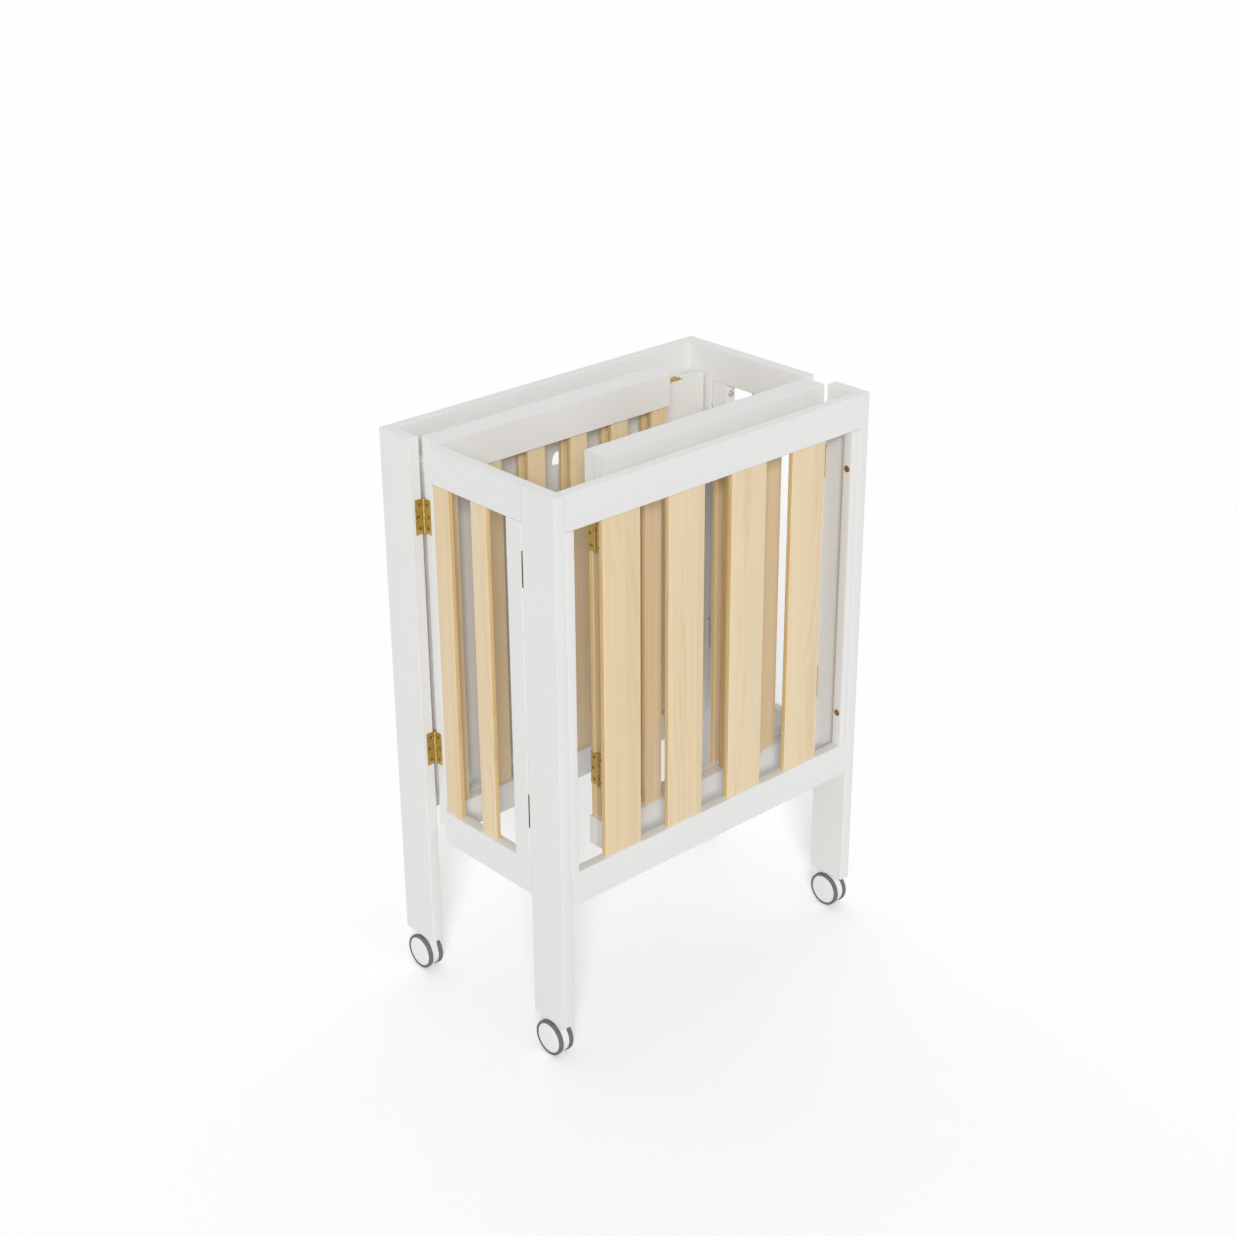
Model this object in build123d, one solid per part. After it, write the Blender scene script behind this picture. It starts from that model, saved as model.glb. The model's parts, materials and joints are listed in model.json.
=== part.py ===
"""Folding playpen with slatted sides, stored in its folded state.

Two end frames on leg planks roll on twin-wheel casters. Each end carries one short side stub, and two pairs of
slatted panels join the ends. The panels fold flat between the ends on brass butt hinges, and a mattress base of
two boards stands folded against the rear end.

The playpen looks the same after half a turn about the vertical, so one half is modelled and the other is that
half turned. Z is up, X runs across the ends, Y from front to rear. The origin is on the floor, below the centre.
"""

from build123d import *
import os

# --- Driving dimensions, in millimetres ---

# Frame
CLEAR_WIDTH = 600.0          # between the two legs of an end
TOP = 927.0                  # top of legs and rails, above the floor
EASE = 1.2                   # chamfer along the edges of legs, rails and boards
SLAT_EASE = 1.0              # chamfer along the edges of slats
FIT = 0.1                    # play round a piece in its recess or hole
ROUND_SIDES = 10             # flats that a small round is drawn with, to keep the model light
DISC_SIDES = 36              # flats that a wheel's disc is drawn with
RAIL_HEIGHT = 56.0           # top rails, and the bottom rails of ends and stubs
SIDE_LOW_RAIL_HEIGHT = 49.0  # bottom rails of the folding panels
LOW_RAIL_TOP = 326.0         # top of every bottom rail, above the floor

# Legs
LEG_WIDTH = 70.0
LEG_THICK = 20.0
LEG_FOOT = 61.0              # underside of a leg, above the floor

# Ends
END_THICK = 18.0
END_STILE_WIDTH = 16.0
END_SLAT_WIDTH = 72.0
END_SLAT_COUNT = 4

# Sides
SIDE_THICK = 20.0
STUB_LENGTH = 204.1
PANEL_LENGTH = 459.5
STILE_WIDTH = 34.0
SIDE_SLAT_WIDTH = 34.0
PANEL_SLAT_COUNT = 6
PANEL_GAP = 1.1              # between two panels folded together

# Slats
SLAT_THICK = 9.0

# Butt hinges
HINGE_LENGTH = 56.0
HINGE_ABOVE_LOW_RAIL = 59.0
HINGE_BELOW_TOP_RAIL = 42.0
KNUCKLE_COUNT = 5
KNUCKLE_GAP = 0.3
BARREL_RADIUS = 2.8
PIN_RADIUS = 1.5
PIN_CLEARANCE = 0.05
LEAF_REACH = 16.0            # from the pin's axis to the leaf's far edge
SHUT_LEAF_INSET = 0.3        # of a shut hinge's leaf inside the wood's outer face
LEAF_THICK = 1.5
LEAF_GAP = 0.4               # between the two leaves of a shut hinge
BARREL_CLEARANCE = 0.2       # between a barrel and the wood beside it
NOTCH_CLEARANCE = 0.3        # between a barrel and the other leaf's notch

# Bolts
BOLT_RADIUS = 3.0
BOLT_INTO_LEG = 12.0         # end bolts, measured from the leg's inner face
BOLT_RECESS = 5.0            # end bolts, below the stile's face
END_BOLT_ABOVE_LOW_RAIL = 58.0
END_BOLT_BELOW_TOP_RAIL = 63.0
STUB_BOLT_FROM_RAIL = 16.0
STUB_BOLT_INTO_LEG = 30.0
BOLT_HEAD_RADIUS = 5.5
BOLT_HEAD_THICK = 2.5
BOLT_SOCKET_RADIUS = 2.0
BOLT_SOCKET_DEPTH = 1.6

# Casters
WHEEL_RADIUS = 29.0
DISC_RADIUS = 24.6
TYRE_WIDTH = 6.7
WHEEL_PAIR_WIDTH = 26.7
DISC_RECESS = 0.8            # of a disc's outer face inside its tyre
HUB_RADIUS = 8.0
AXLE_RADIUS = 2.5
AXLE_CLEARANCE = 0.05
HOOD_RADIUS = 21.0
HOOD_NECK_RADIUS = 9.0
HOOD_SIDE_CLEARANCE = 0.6
HOOD_TOP_CLEARANCE = 0.3
TRAIL = 10.0                 # from the stem's axis back to the axle
STEM_RADIUS = 4.0
STEM_CLEARANCE = 0.05
STEM_IN_HOOD = 18.0
STEM_IN_LEG = 35.0
COLLAR_RADIUS = 7.5
COLLAR_THICK = 1.0

# Mattress base
BOARD_THICK = 12.0
BOARD_BOTTOM = 330.0         # underside of the folded boards, above the floor
BOARD_HEIGHT = 550.0
BOARD_SIDE_CLEARANCE = 3.0
BOARD_GAP = 0.5              # between the two folded boards
FINGER_HOLE_RADIUS = 15.0
FINGER_HOLE_BELOW_TOP = 68.0
LEDGER_THICK = 9.0
LEDGER_HEIGHT = 26.0
BASE_HINGE_LENGTH = 40.0
BASE_BARREL_RADIUS = 1.6
BASE_LEAF_REACH = 10.0
BASE_HINGE_FROM_MIDDLE = 232.0

# --- Worked out from the driving dimensions ---

TOP_RAIL_BOTTOM = TOP - RAIL_HEIGHT
HALF_CLEAR = CLEAR_WIDTH / 2
PIN_OFFSET = BARREL_RADIUS + BARREL_CLEARANCE
HALF_DEPTH = (2 * LEG_WIDTH + 2 * LEAF_GAP + STUB_LENGTH + 2 * PIN_OFFSET + 2 * SIDE_THICK + PANEL_GAP) / 2

STUB_START_Y = -HALF_DEPTH + LEG_WIDTH + LEAF_GAP
PANEL_START_X = -HALF_CLEAR + PIN_OFFSET + LEAF_GAP / 2
NEAR_PANEL_Y = STUB_START_Y + STUB_LENGTH + LEAF_GAP / 2 + PIN_OFFSET
FAR_PANEL_Y = NEAR_PANEL_Y + SIDE_THICK + PANEL_GAP

SHUT_PIN = (-HALF_CLEAR + PIN_OFFSET, STUB_START_Y - LEAF_GAP / 2)
STUB_PIN = (-HALF_CLEAR + PIN_OFFSET, STUB_START_Y + STUB_LENGTH + LEAF_GAP / 2)
FOLD_PIN = (PANEL_START_X + PANEL_LENGTH + LEAF_GAP / 2, NEAR_PANEL_Y + SIDE_THICK + PANEL_GAP / 2)
LEG_PIN = (-HALF_CLEAR + PIN_OFFSET, FAR_PANEL_Y + SIDE_THICK + PIN_OFFSET)
HINGE_BOTTOMS = (LOW_RAIL_TOP + HINGE_ABOVE_LOW_RAIL, TOP_RAIL_BOTTOM - HINGE_BELOW_TOP_RAIL - HINGE_LENGTH)

END_BOLT_HEIGHTS = (LOW_RAIL_TOP + END_BOLT_ABOVE_LOW_RAIL, TOP_RAIL_BOTTOM - END_BOLT_BELOW_TOP_RAIL)
STUB_BOLT_HEIGHTS = (LOW_RAIL_TOP + STUB_BOLT_FROM_RAIL, TOP_RAIL_BOTTOM - STUB_BOLT_FROM_RAIL)

LEG_MIDDLE_X = HALF_CLEAR + LEG_THICK / 2
LEG_MIDDLE_Y = -HALF_DEPTH + LEG_WIDTH / 2
STEM_PLACES = ((-LEG_MIDDLE_X, LEG_MIDDLE_Y + TRAIL), (LEG_MIDDLE_X, LEG_MIDDLE_Y + TRAIL))

BOARD_TOP = BOARD_BOTTOM + BOARD_HEIGHT
BASE_STANDOFF = LEAF_GAP / 2 + LEAF_THICK
THROUGH_REACH = PIN_OFFSET + LEG_THICK + FIT
SHUT_LEAF_REACH = PIN_OFFSET + LEG_THICK - SHUT_LEAF_INSET
LEDGER_FRONT = HALF_DEPTH - END_THICK - LEDGER_THICK
REAR_BOARD_BACK = LEDGER_FRONT - 2 * BASE_STANDOFF

HALF_TURN = Rot(0, 0, 180)


# --- Wood ---

def block(low, high):
    """A plain box between two opposite corners."""
    size = [b - a for a, b in zip(low, high)]
    middle = [(a + b) / 2 for a, b in zip(low, high)]
    return Pos(*middle) * Box(*size)


def plank(low, high, along, ease=EASE):
    """A box whose edges along one axis are eased."""
    board = block(low, high)
    return chamfer(board.edges().filter_by(along), ease)


def slatted_panel(length, thick, low_rail_height, stile_lefts, stile_width, slat_lefts, slat_width):
    """A panel in its own frame: X along it from 0, Y through it from 0, Z from the floor.

    Returns its top rail, bottom rail, stiles and slats.
    """
    def upright(left, width, depth, ease):
        front = (thick - depth) / 2
        low = (left, front, LOW_RAIL_TOP)
        return plank(low, (left + width, front + depth, TOP_RAIL_BOTTOM), Axis.Z, ease)

    rails = [
        plank((0, 0, TOP_RAIL_BOTTOM), (length, thick, TOP), Axis.X),
        plank((0, 0, LOW_RAIL_TOP - low_rail_height), (length, thick, LOW_RAIL_TOP), Axis.X),
    ]
    stiles = [upright(left, stile_width, thick, EASE) for left in stile_lefts]
    slats = [upright(left, slat_width, SLAT_THICK, SLAT_EASE) for left in slat_lefts]
    return rails, stiles, slats


def even_lefts(start, end, width, count, flush):
    """Left edges of slats spaced evenly from start to end, flush with both or clear of both."""
    gaps = count - 1 if flush else count + 1
    gap = (end - start - count * width) / gaps
    first = start if flush else start + gap
    return [first + i * (width + gap) for i in range(count)]


def leg(middle_x):
    """A front leg plank, before its recesses and holes are cut."""
    low = (middle_x - LEG_THICK / 2, -HALF_DEPTH, LEG_FOOT)
    high = (middle_x + LEG_THICK / 2, -HALF_DEPTH + LEG_WIDTH, TOP)
    return chamfer(block(low, high).edges(), EASE)


# --- Small rounds ---

def bar(section, start, end):
    """A bar between two points, square to the section that it is drawn with."""
    start, end = Vector(*start), Vector(*end)
    return extrude(Plane(start, z_dir=end - start) * section, (end - start).length)


def rod(start, end, radius, sides=ROUND_SIDES):
    """A round rod drawn with flats, no part of it outside its radius."""
    return bar(RegularPolygon(radius, sides), start, end)


def bore(start, end, radius):
    """A small round hole drawn with flats, no part of it inside its radius."""
    return bar(RegularPolygon(radius, ROUND_SIDES, major_radius=False), start, end)


def spindle(start, end, radius):
    """A true cylinder, for what a joint turns on."""
    return bar(Circle(radius), start, end)


# --- Butt hinges ---

def hinge_leaf(outer):
    """A leaf standing on z = 0 with its pin's axis on Z: the outer leaf has the end knuckles.

    The plate runs out along +X and lies against wood on its +Y side. Between its own knuckles it is notched
    to clear those of the other leaf.
    """
    pitch = HINGE_LENGTH / KNUCKLE_COUNT
    notch = 2 * (BARREL_RADIUS + NOTCH_CLEARANCE)
    leaf = block((0, LEAF_GAP / 2, 0), (LEAF_REACH, LEAF_GAP / 2 + LEAF_THICK, HINGE_LENGTH))
    for i in range(KNUCKLE_COUNT):
        if (i % 2 == 0) == outer:
            bottom = i * pitch + KNUCKLE_GAP / 2
            leaf += rod((0, 0, bottom), (0, 0, bottom + pitch - KNUCKLE_GAP), BARREL_RADIUS)
        else:
            leaf -= Pos(0, 0, (i + 0.5) * pitch) * Box(notch, notch, pitch + KNUCKLE_GAP)
    return leaf - bore((0, 0, 0), (0, 0, HINGE_LENGTH), PIN_RADIUS + PIN_CLEARANCE)


def still_hinge(length, reach, barrel_radius, opening):
    """A hinge that stays at one opening angle, as two plates and the barrel between them."""
    barrel = rod((0, 0, 0), (0, 0, length), barrel_radius)
    plate = block((0, LEAF_GAP / 2, 0), (reach, LEAF_GAP / 2 + LEAF_THICK, length)) - barrel
    return [plate, Rot(0, 0, -opening) * mirror(plate, Plane.XZ), barrel]


def leaf_recess(outer, reach):
    """The shallow recess for a leaf's plate, in the leaf's own frame."""
    recess = block(
        (PIN_OFFSET - FIT, 0, -FIT),
        (reach, LEAF_GAP / 2 + LEAF_THICK, HINGE_LENGTH + FIT),
    )
    return recess if outer else mirror(recess, Plane.XZ)


def hinge_places(pin, angle):
    """Where the two hinges of a line stand, their outer leaf's plate turned by an angle."""
    return [Pos(pin[0], pin[1], bottom) * Rot(0, 0, angle) for bottom in HINGE_BOTTOMS]


def outer_leaves(pin, angle):
    """The pin-holding leaves of a hinge line, with their pins."""
    leaf = hinge_leaf(outer=True)
    pin_solid = spindle((0, 0, 0), (0, 0, HINGE_LENGTH), PIN_RADIUS)
    return [place * solid for place in hinge_places(pin, angle) for solid in (leaf, pin_solid)]


def inner_leaves(pin, angle):
    """The leaves that turn round the pins of a hinge line."""
    leaf = mirror(hinge_leaf(outer=False), Plane.XZ)
    return [place * leaf for place in hinge_places(pin, angle)]


def shut_hinges():
    """The two hinges between the stub and its leg, which its bolts keep shut."""
    hinge = still_hinge(HINGE_LENGTH, SHUT_LEAF_REACH, BARREL_RADIUS, 0)
    return [place * solid for place in hinge_places(SHUT_PIN, 180) for solid in hinge]


def cut_recesses(solid, pin, angle, outer, reach=LEAF_REACH + FIT):
    """A piece of wood with the recesses for one hinge line's plates, each as deep into it as its reach."""
    recess = leaf_recess(outer, reach)
    for place in hinge_places(pin, angle):
        solid -= place * recess
    return solid


# --- Bolts ---

def end_bolt_lines(leg_side, recess):
    """The start and end of the two bolts that hold an end stile to its leg."""
    inner = leg_side * (HALF_CLEAR - END_STILE_WIDTH + recess)
    outer = leg_side * (HALF_CLEAR + BOLT_INTO_LEG)
    y = -HALF_DEPTH + END_THICK / 2
    return [((inner, y, z), (outer, y, z)) for z in END_BOLT_HEIGHTS]


def stub_bolt_lines():
    """The start and end of the two shanks that hold the stub's stile to its leg."""
    start = STUB_START_Y + STILE_WIDTH
    end = STUB_START_Y - LEAF_GAP - STUB_BOLT_INTO_LEG
    return [((-LEG_MIDDLE_X, start, z), (-LEG_MIDDLE_X, end, z)) for z in STUB_BOLT_HEIGHTS]


def end_bolts():
    """The four headless bolts of an end, sunk in the stiles."""
    return [rod(*line, BOLT_RADIUS) for side in (-1, 1) for line in end_bolt_lines(side, BOLT_RECESS)]


def stub_bolts():
    """The stub's two bolts, with round socket heads."""
    bolts = []
    for face, end in stub_bolt_lines():
        x, face_y, z = face
        top = (x, face_y + BOLT_HEAD_THICK, z)
        socket_floor = (x, face_y + BOLT_HEAD_THICK - BOLT_SOCKET_DEPTH, z)
        bolt = rod(face, end, BOLT_RADIUS) + rod(face, top, BOLT_HEAD_RADIUS)
        bolts.append(bolt - bore(socket_floor, top, BOLT_SOCKET_RADIUS))
    return bolts


# --- Casters ---

def caster_stem():
    """The stem and the collar pressed on it, on the Z axis above the floor."""
    collar_bottom = LEG_FOOT - COLLAR_THICK
    stem_bottom = collar_bottom - HOOD_TOP_CLEARANCE - STEM_IN_HOOD
    collar = rod((0, 0, collar_bottom), (0, 0, LEG_FOOT), COLLAR_RADIUS)
    collar -= bore((0, 0, collar_bottom), (0, 0, LEG_FOOT), STEM_RADIUS)
    return [spindle((0, 0, stem_bottom), (0, 0, LEG_FOOT + STEM_IN_LEG), STEM_RADIUS), collar]


def caster_hood():
    """The hood between the two wheels, its stem on the Z axis and its axle behind it."""
    half_width = WHEEL_PAIR_WIDTH / 2 - TYRE_WIDTH - HOOD_SIDE_CLEARANCE
    top = LEG_FOOT - COLLAR_THICK - HOOD_TOP_CLEARANCE
    cheek = Pos(-TRAIL, WHEEL_RADIUS) * Circle(HOOD_RADIUS)
    neck_low = top - STEM_IN_HOOD
    neck = Pos(0, (top + neck_low) / 2) * Rectangle(2 * HOOD_NECK_RADIUS, top - neck_low)
    profile = Plane.YZ * make_hull((cheek + neck).edges())
    hood = extrude(profile, amount=half_width, both=True)
    hood -= bore((0, 0, top - STEM_IN_HOOD), (0, 0, top), STEM_RADIUS + STEM_CLEARANCE)
    axle_radius = AXLE_RADIUS + AXLE_CLEARANCE
    return hood - bore((-half_width, -TRAIL, WHEEL_RADIUS), (half_width, -TRAIL, WHEEL_RADIUS), axle_radius)


def wheel_disc():
    """A wheel's disc with its hub cap, its outer side towards +X, the stem on the Z axis."""
    inner = WHEEL_PAIR_WIDTH / 2 - TYRE_WIDTH
    outer = WHEEL_PAIR_WIDTH / 2
    face = outer - DISC_RECESS
    disc = rod((inner, -TRAIL, WHEEL_RADIUS), (face, -TRAIL, WHEEL_RADIUS), DISC_RADIUS, DISC_SIDES)
    disc += rod((face, -TRAIL, WHEEL_RADIUS), (outer, -TRAIL, WHEEL_RADIUS), HUB_RADIUS, DISC_SIDES)
    return disc - rod((inner, -TRAIL, WHEEL_RADIUS), (face, -TRAIL, WHEEL_RADIUS), AXLE_RADIUS)


def wheel_tyre():
    """A tyre round its disc."""
    inner = (WHEEL_PAIR_WIDTH / 2 - TYRE_WIDTH, -TRAIL, WHEEL_RADIUS)
    outer = (WHEEL_PAIR_WIDTH / 2, -TRAIL, WHEEL_RADIUS)
    return spindle(inner, outer, WHEEL_RADIUS) - rod(inner, outer, DISC_RADIUS, DISC_SIDES)


def caster_axle():
    """The axle that both wheels are pressed on."""
    half = WHEEL_PAIR_WIDTH / 2 - DISC_RECESS
    return Pos(0, -TRAIL, WHEEL_RADIUS) * rod((-half, 0, 0), (half, 0, 0), AXLE_RADIUS)


def caster_pieces():
    """The pieces of one caster, its stem on the Z axis."""
    disc = wheel_disc()
    tyre = wheel_tyre()
    return {
        "hood": [caster_hood()],
        "wheels": [disc, mirror(disc, Plane.YZ), caster_axle()],
        "tyres": [tyre, mirror(tyre, Plane.YZ)],
    }


# --- Mattress base, folded up against the rear end ---

def base_board(back_y):
    """An upright board of the base, before its hinge recesses are cut."""
    half_width = HALF_CLEAR - BOARD_SIDE_CLEARANCE
    front_y = back_y - BOARD_THICK
    solid = block((-half_width, front_y, BOARD_BOTTOM), (half_width, back_y, BOARD_TOP))
    solid = chamfer(solid.edges().filter_by(Axis.X) + solid.edges().filter_by(Axis.Z), EASE)
    hole_place = Pos(0, back_y - BOARD_THICK / 2, BOARD_TOP - FINGER_HOLE_BELOW_TOP) * Rot(90, 0, 0)
    return solid - hole_place * Cylinder(FINGER_HOLE_RADIUS, BOARD_THICK)


def base_hinge_places(y, z):
    """Where the two hinges of a base line lie: their pins along X, their first plate towards +Y."""
    places = []
    for middle in (-BASE_HINGE_FROM_MIDDLE, BASE_HINGE_FROM_MIDDLE):
        origin = (middle + BASE_HINGE_LENGTH / 2, y, z)
        places.append(Plane(origin, x_dir=(0, 1, 0), z_dir=(-1, 0, 0)).location)
    return places


def base_hinges(places, opening):
    """The two hinges of a base line."""
    hinge = still_hinge(BASE_HINGE_LENGTH, BASE_LEAF_REACH, BASE_BARREL_RADIUS, opening)
    return [place * solid for place in places for solid in hinge]


def base_pieces():
    """The boards, their ledger on the rear end's bottom rail, and the hinges of both."""
    seam_y = REAR_BOARD_BACK - BOARD_THICK - BOARD_GAP / 2
    seam_places = base_hinge_places(seam_y, BOARD_TOP + LEAF_GAP / 2)
    ledger_places = base_hinge_places(REAR_BOARD_BACK + BASE_STANDOFF, BOARD_BOTTOM + BASE_STANDOFF)

    barrel_room = BASE_BARREL_RADIUS + NOTCH_CLEARANCE
    recess = bore((0, 0, -FIT), (0, 0, BASE_HINGE_LENGTH + FIT), barrel_room)
    recess += block(
        (-BASE_LEAF_REACH - FIT, 0, -FIT),
        (BASE_LEAF_REACH + FIT, LEAF_GAP / 2 + LEAF_THICK, BASE_HINGE_LENGTH + FIT),
    )
    rear_board = base_board(REAR_BOARD_BACK)
    front_board = base_board(REAR_BOARD_BACK - BOARD_THICK - BOARD_GAP)
    for place in seam_places:
        rear_board -= place * recess
        front_board -= place * recess

    ledger_half = HALF_CLEAR - END_STILE_WIDTH
    ledger = plank(
        (-ledger_half, LEDGER_FRONT, BOARD_BOTTOM - LEDGER_HEIGHT),
        (ledger_half, LEDGER_FRONT + LEDGER_THICK, BOARD_BOTTOM),
        Axis.X,
    )
    return {
        "base_rear_board": [rear_board],
        "base_front_board": [front_board],
        "base_ledger": [ledger],
        "base_seam_hinges": base_hinges(seam_places, 180),
        "base_ledger_hinges": base_hinges(ledger_places, 90),
    }


# --- Assembly ---

def end_frame():
    """The front end's pieces, left leg first, with every recess and hole cut."""
    left_leg = leg(-LEG_MIDDLE_X)
    right_leg = leg(LEG_MIDDLE_X)
    span = 2 * HALF_CLEAR
    slat_lefts = even_lefts(END_STILE_WIDTH, span - END_STILE_WIDTH, END_SLAT_WIDTH, END_SLAT_COUNT, flush=False)
    rails, stiles, slats = slatted_panel(
        span, END_THICK, RAIL_HEIGHT, (0, span - END_STILE_WIDTH), END_STILE_WIDTH, slat_lefts, END_SLAT_WIDTH
    )
    place = Pos(-HALF_CLEAR, -HALF_DEPTH, 0)
    rails, stiles, slats = ([place * solid for solid in group] for group in (rails, stiles, slats))

    hole_radius = BOLT_RADIUS + FIT
    for line in end_bolt_lines(-1, recess=0):
        left_leg -= bore(*line, hole_radius)
        stiles[0] -= bore(*line, hole_radius)
    for line in end_bolt_lines(1, recess=0):
        right_leg -= bore(*line, hole_radius)
        stiles[1] -= bore(*line, hole_radius)
    for line in stub_bolt_lines():
        left_leg -= bore(*line, hole_radius)
    for x, y in STEM_PLACES:
        socket = bore((x, y, LEG_FOOT), (x, y, LEG_FOOT + STEM_IN_LEG + FIT), STEM_RADIUS + FIT)
        left_leg -= socket
        right_leg -= socket
    left_leg = cut_recesses(left_leg, SHUT_PIN, 180, outer=True, reach=THROUGH_REACH)
    right_leg = cut_recesses(right_leg, (-LEG_PIN[0], -LEG_PIN[1]), 0, outer=False)
    return left_leg, right_leg, rails, stiles, slats


def stub():
    """The left stub's pieces: rails and stile, and slats."""
    end_slat = STUB_LENGTH - SIDE_SLAT_WIDTH
    middle_slat = even_lefts(STILE_WIDTH, end_slat, SIDE_SLAT_WIDTH, 1, flush=False)
    rails, stiles, slats = slatted_panel(
        STUB_LENGTH, SIDE_THICK, RAIL_HEIGHT, (0,), STILE_WIDTH, middle_slat + [end_slat], SIDE_SLAT_WIDTH
    )
    place = Pos(-HALF_CLEAR, STUB_START_Y, 0) * Rot(0, 0, 90)
    rails, stiles, slats = ([place * solid for solid in group] for group in (rails, stiles, slats))
    for line in stub_bolt_lines():
        stiles[0] -= bore(*line, BOLT_RADIUS + FIT)
    stiles[0] = cut_recesses(stiles[0], SHUT_PIN, 180, outer=False, reach=THROUGH_REACH)
    slats[-1] = cut_recesses(slats[-1], STUB_PIN, 180, outer=True)
    return rails + stiles, slats


def folding_panel(y, has_stile):
    """A folding panel's frame and slats, its stub or leg end at the low X."""
    slat_lefts = even_lefts(0, PANEL_LENGTH, SIDE_SLAT_WIDTH, PANEL_SLAT_COUNT, flush=True)
    stile_lefts = [slat_lefts.pop(0)] if has_stile else []
    rails, stiles, slats = slatted_panel(
        PANEL_LENGTH, SIDE_THICK, SIDE_LOW_RAIL_HEIGHT, stile_lefts, STILE_WIDTH, slat_lefts, SIDE_SLAT_WIDTH
    )
    place = Pos(PANEL_START_X, y, 0)
    return [place * solid for solid in rails + stiles], [place * solid for solid in slats]


def half_playpen(end, side, far_end, far_side):
    """All nodes of the half that holds one end, modelled as the front end with the left side's panels."""
    left_leg, right_leg, rails, stiles, slats = end_frame()
    stub_frame, stub_slats = stub()
    near_frame, near_slats = folding_panel(NEAR_PANEL_Y, has_stile=False)
    far_frame, far_slats = folding_panel(FAR_PANEL_Y, has_stile=True)
    near_slats[0] = cut_recesses(near_slats[0], STUB_PIN, 90, outer=False)
    near_slats[-1] = cut_recesses(near_slats[-1], FOLD_PIN, -90, outer=False)
    far_slats[-1] = cut_recesses(far_slats[-1], FOLD_PIN, 90, outer=True)
    far_frame[-1] = cut_recesses(far_frame[-1], LEG_PIN, -90, outer=True)

    near_panel = f"{side}_{end}_panel"
    far_panel = f"{side}_{far_end}_panel"
    nodes = {
        f"{end}_{side}_leg": [left_leg],
        f"{end}_{far_side}_leg": [right_leg],
        f"{end}_rails": rails,
        f"{end}_stiles": stiles,
        f"{end}_slats": slats,
        f"{end}_bolts": end_bolts(),
        f"{end}_caster_stems": [Pos(x, y, 0) * solid for x, y in STEM_PLACES for solid in caster_stem()],
        f"{end}_{far_side}_leg_leaves": inner_leaves((-LEG_PIN[0], -LEG_PIN[1]), 0),
        f"{side}_stub_frame": stub_frame,
        f"{side}_stub_slats": stub_slats,
        f"{side}_stub_bolts": stub_bolts(),
        f"{side}_stub_shut_hinges": shut_hinges(),
        f"{side}_stub_leaves": outer_leaves(STUB_PIN, 180),
        f"{near_panel}_frame": near_frame,
        f"{near_panel}_slats": near_slats,
        f"{near_panel}_stub_leaves": inner_leaves(STUB_PIN, 90),
        f"{near_panel}_fold_leaves": inner_leaves(FOLD_PIN, -90),
        f"{far_panel}_frame": far_frame,
        f"{far_panel}_slats": far_slats,
        f"{far_panel}_fold_leaves": outer_leaves(FOLD_PIN, 90),
        f"{far_panel}_leg_leaves": outer_leaves(LEG_PIN, -90),
    }
    for corner_side, (x, y) in zip((side, far_side), STEM_PLACES):
        for piece, solids in caster_pieces().items():
            nodes[f"{end}_{corner_side}_caster_{piece}"] = [Pos(x, y, 0) * solid for solid in solids]
    return nodes


def whole_playpen():
    """Every node of the playpen, by name."""
    nodes = half_playpen("front", "left", "rear", "right")
    for name, solids in half_playpen("rear", "right", "front", "left").items():
        nodes[name] = [HALF_TURN * solid for solid in solids]
    nodes.update(base_pieces())
    return nodes


if __name__ == "__main__":
    os.makedirs("parts", exist_ok=True)
    for name, solids in whole_playpen().items():
        export_step(Compound(children=solids), f"parts/{name}.step")
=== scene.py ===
"""Looks of the folding playpen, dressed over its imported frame.

Every wooden board, hinge, screw, bolt and caster is finished here from the frame's own places and sizes.
Units are metres, and sizes written in millimetres are multiplied by MM.
"""

import json
import logging
import math
from collections.abc import Iterable, Sequence
from dataclasses import dataclass
from enum import Enum

import bmesh
import bpy
from bpy.types import Material, Mesh, Node, NodeSocket, NodeTree, Object
from mathutils import Matrix, Vector

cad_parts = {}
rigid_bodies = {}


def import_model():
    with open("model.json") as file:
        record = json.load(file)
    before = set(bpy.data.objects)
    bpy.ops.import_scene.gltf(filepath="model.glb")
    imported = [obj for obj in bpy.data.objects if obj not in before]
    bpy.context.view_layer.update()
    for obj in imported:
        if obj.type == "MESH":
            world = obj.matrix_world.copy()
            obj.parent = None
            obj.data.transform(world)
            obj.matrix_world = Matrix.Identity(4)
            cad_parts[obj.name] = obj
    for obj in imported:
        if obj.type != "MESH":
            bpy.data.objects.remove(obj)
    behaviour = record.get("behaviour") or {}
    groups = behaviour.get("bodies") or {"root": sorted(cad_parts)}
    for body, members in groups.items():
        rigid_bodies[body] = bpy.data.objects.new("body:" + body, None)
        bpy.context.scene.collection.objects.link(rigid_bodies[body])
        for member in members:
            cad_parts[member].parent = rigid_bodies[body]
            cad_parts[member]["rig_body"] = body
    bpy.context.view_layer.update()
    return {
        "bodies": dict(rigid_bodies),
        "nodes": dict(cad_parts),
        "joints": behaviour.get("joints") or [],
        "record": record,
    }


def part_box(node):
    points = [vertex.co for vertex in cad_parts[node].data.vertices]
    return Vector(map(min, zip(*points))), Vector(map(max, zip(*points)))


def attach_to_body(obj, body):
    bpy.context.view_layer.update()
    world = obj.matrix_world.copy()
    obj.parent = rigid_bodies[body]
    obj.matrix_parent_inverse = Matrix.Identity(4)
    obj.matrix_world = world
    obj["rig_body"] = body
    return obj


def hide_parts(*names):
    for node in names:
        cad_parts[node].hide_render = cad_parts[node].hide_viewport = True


MM = 0.001
WELD = 1e-6  # corners of one solid that lie closer than this are one corner
SPUN_WELD = 1e-7  # the same where a turned outline meets itself
SHORTEST_EDGE = 1e-8
FLAT_ANGLE = 0.4  # faces that turn by fewer degrees lie in one plane
NARROW_SIDE = 0.9  # how squarely a face looks sideways to be a board's narrow side
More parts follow.
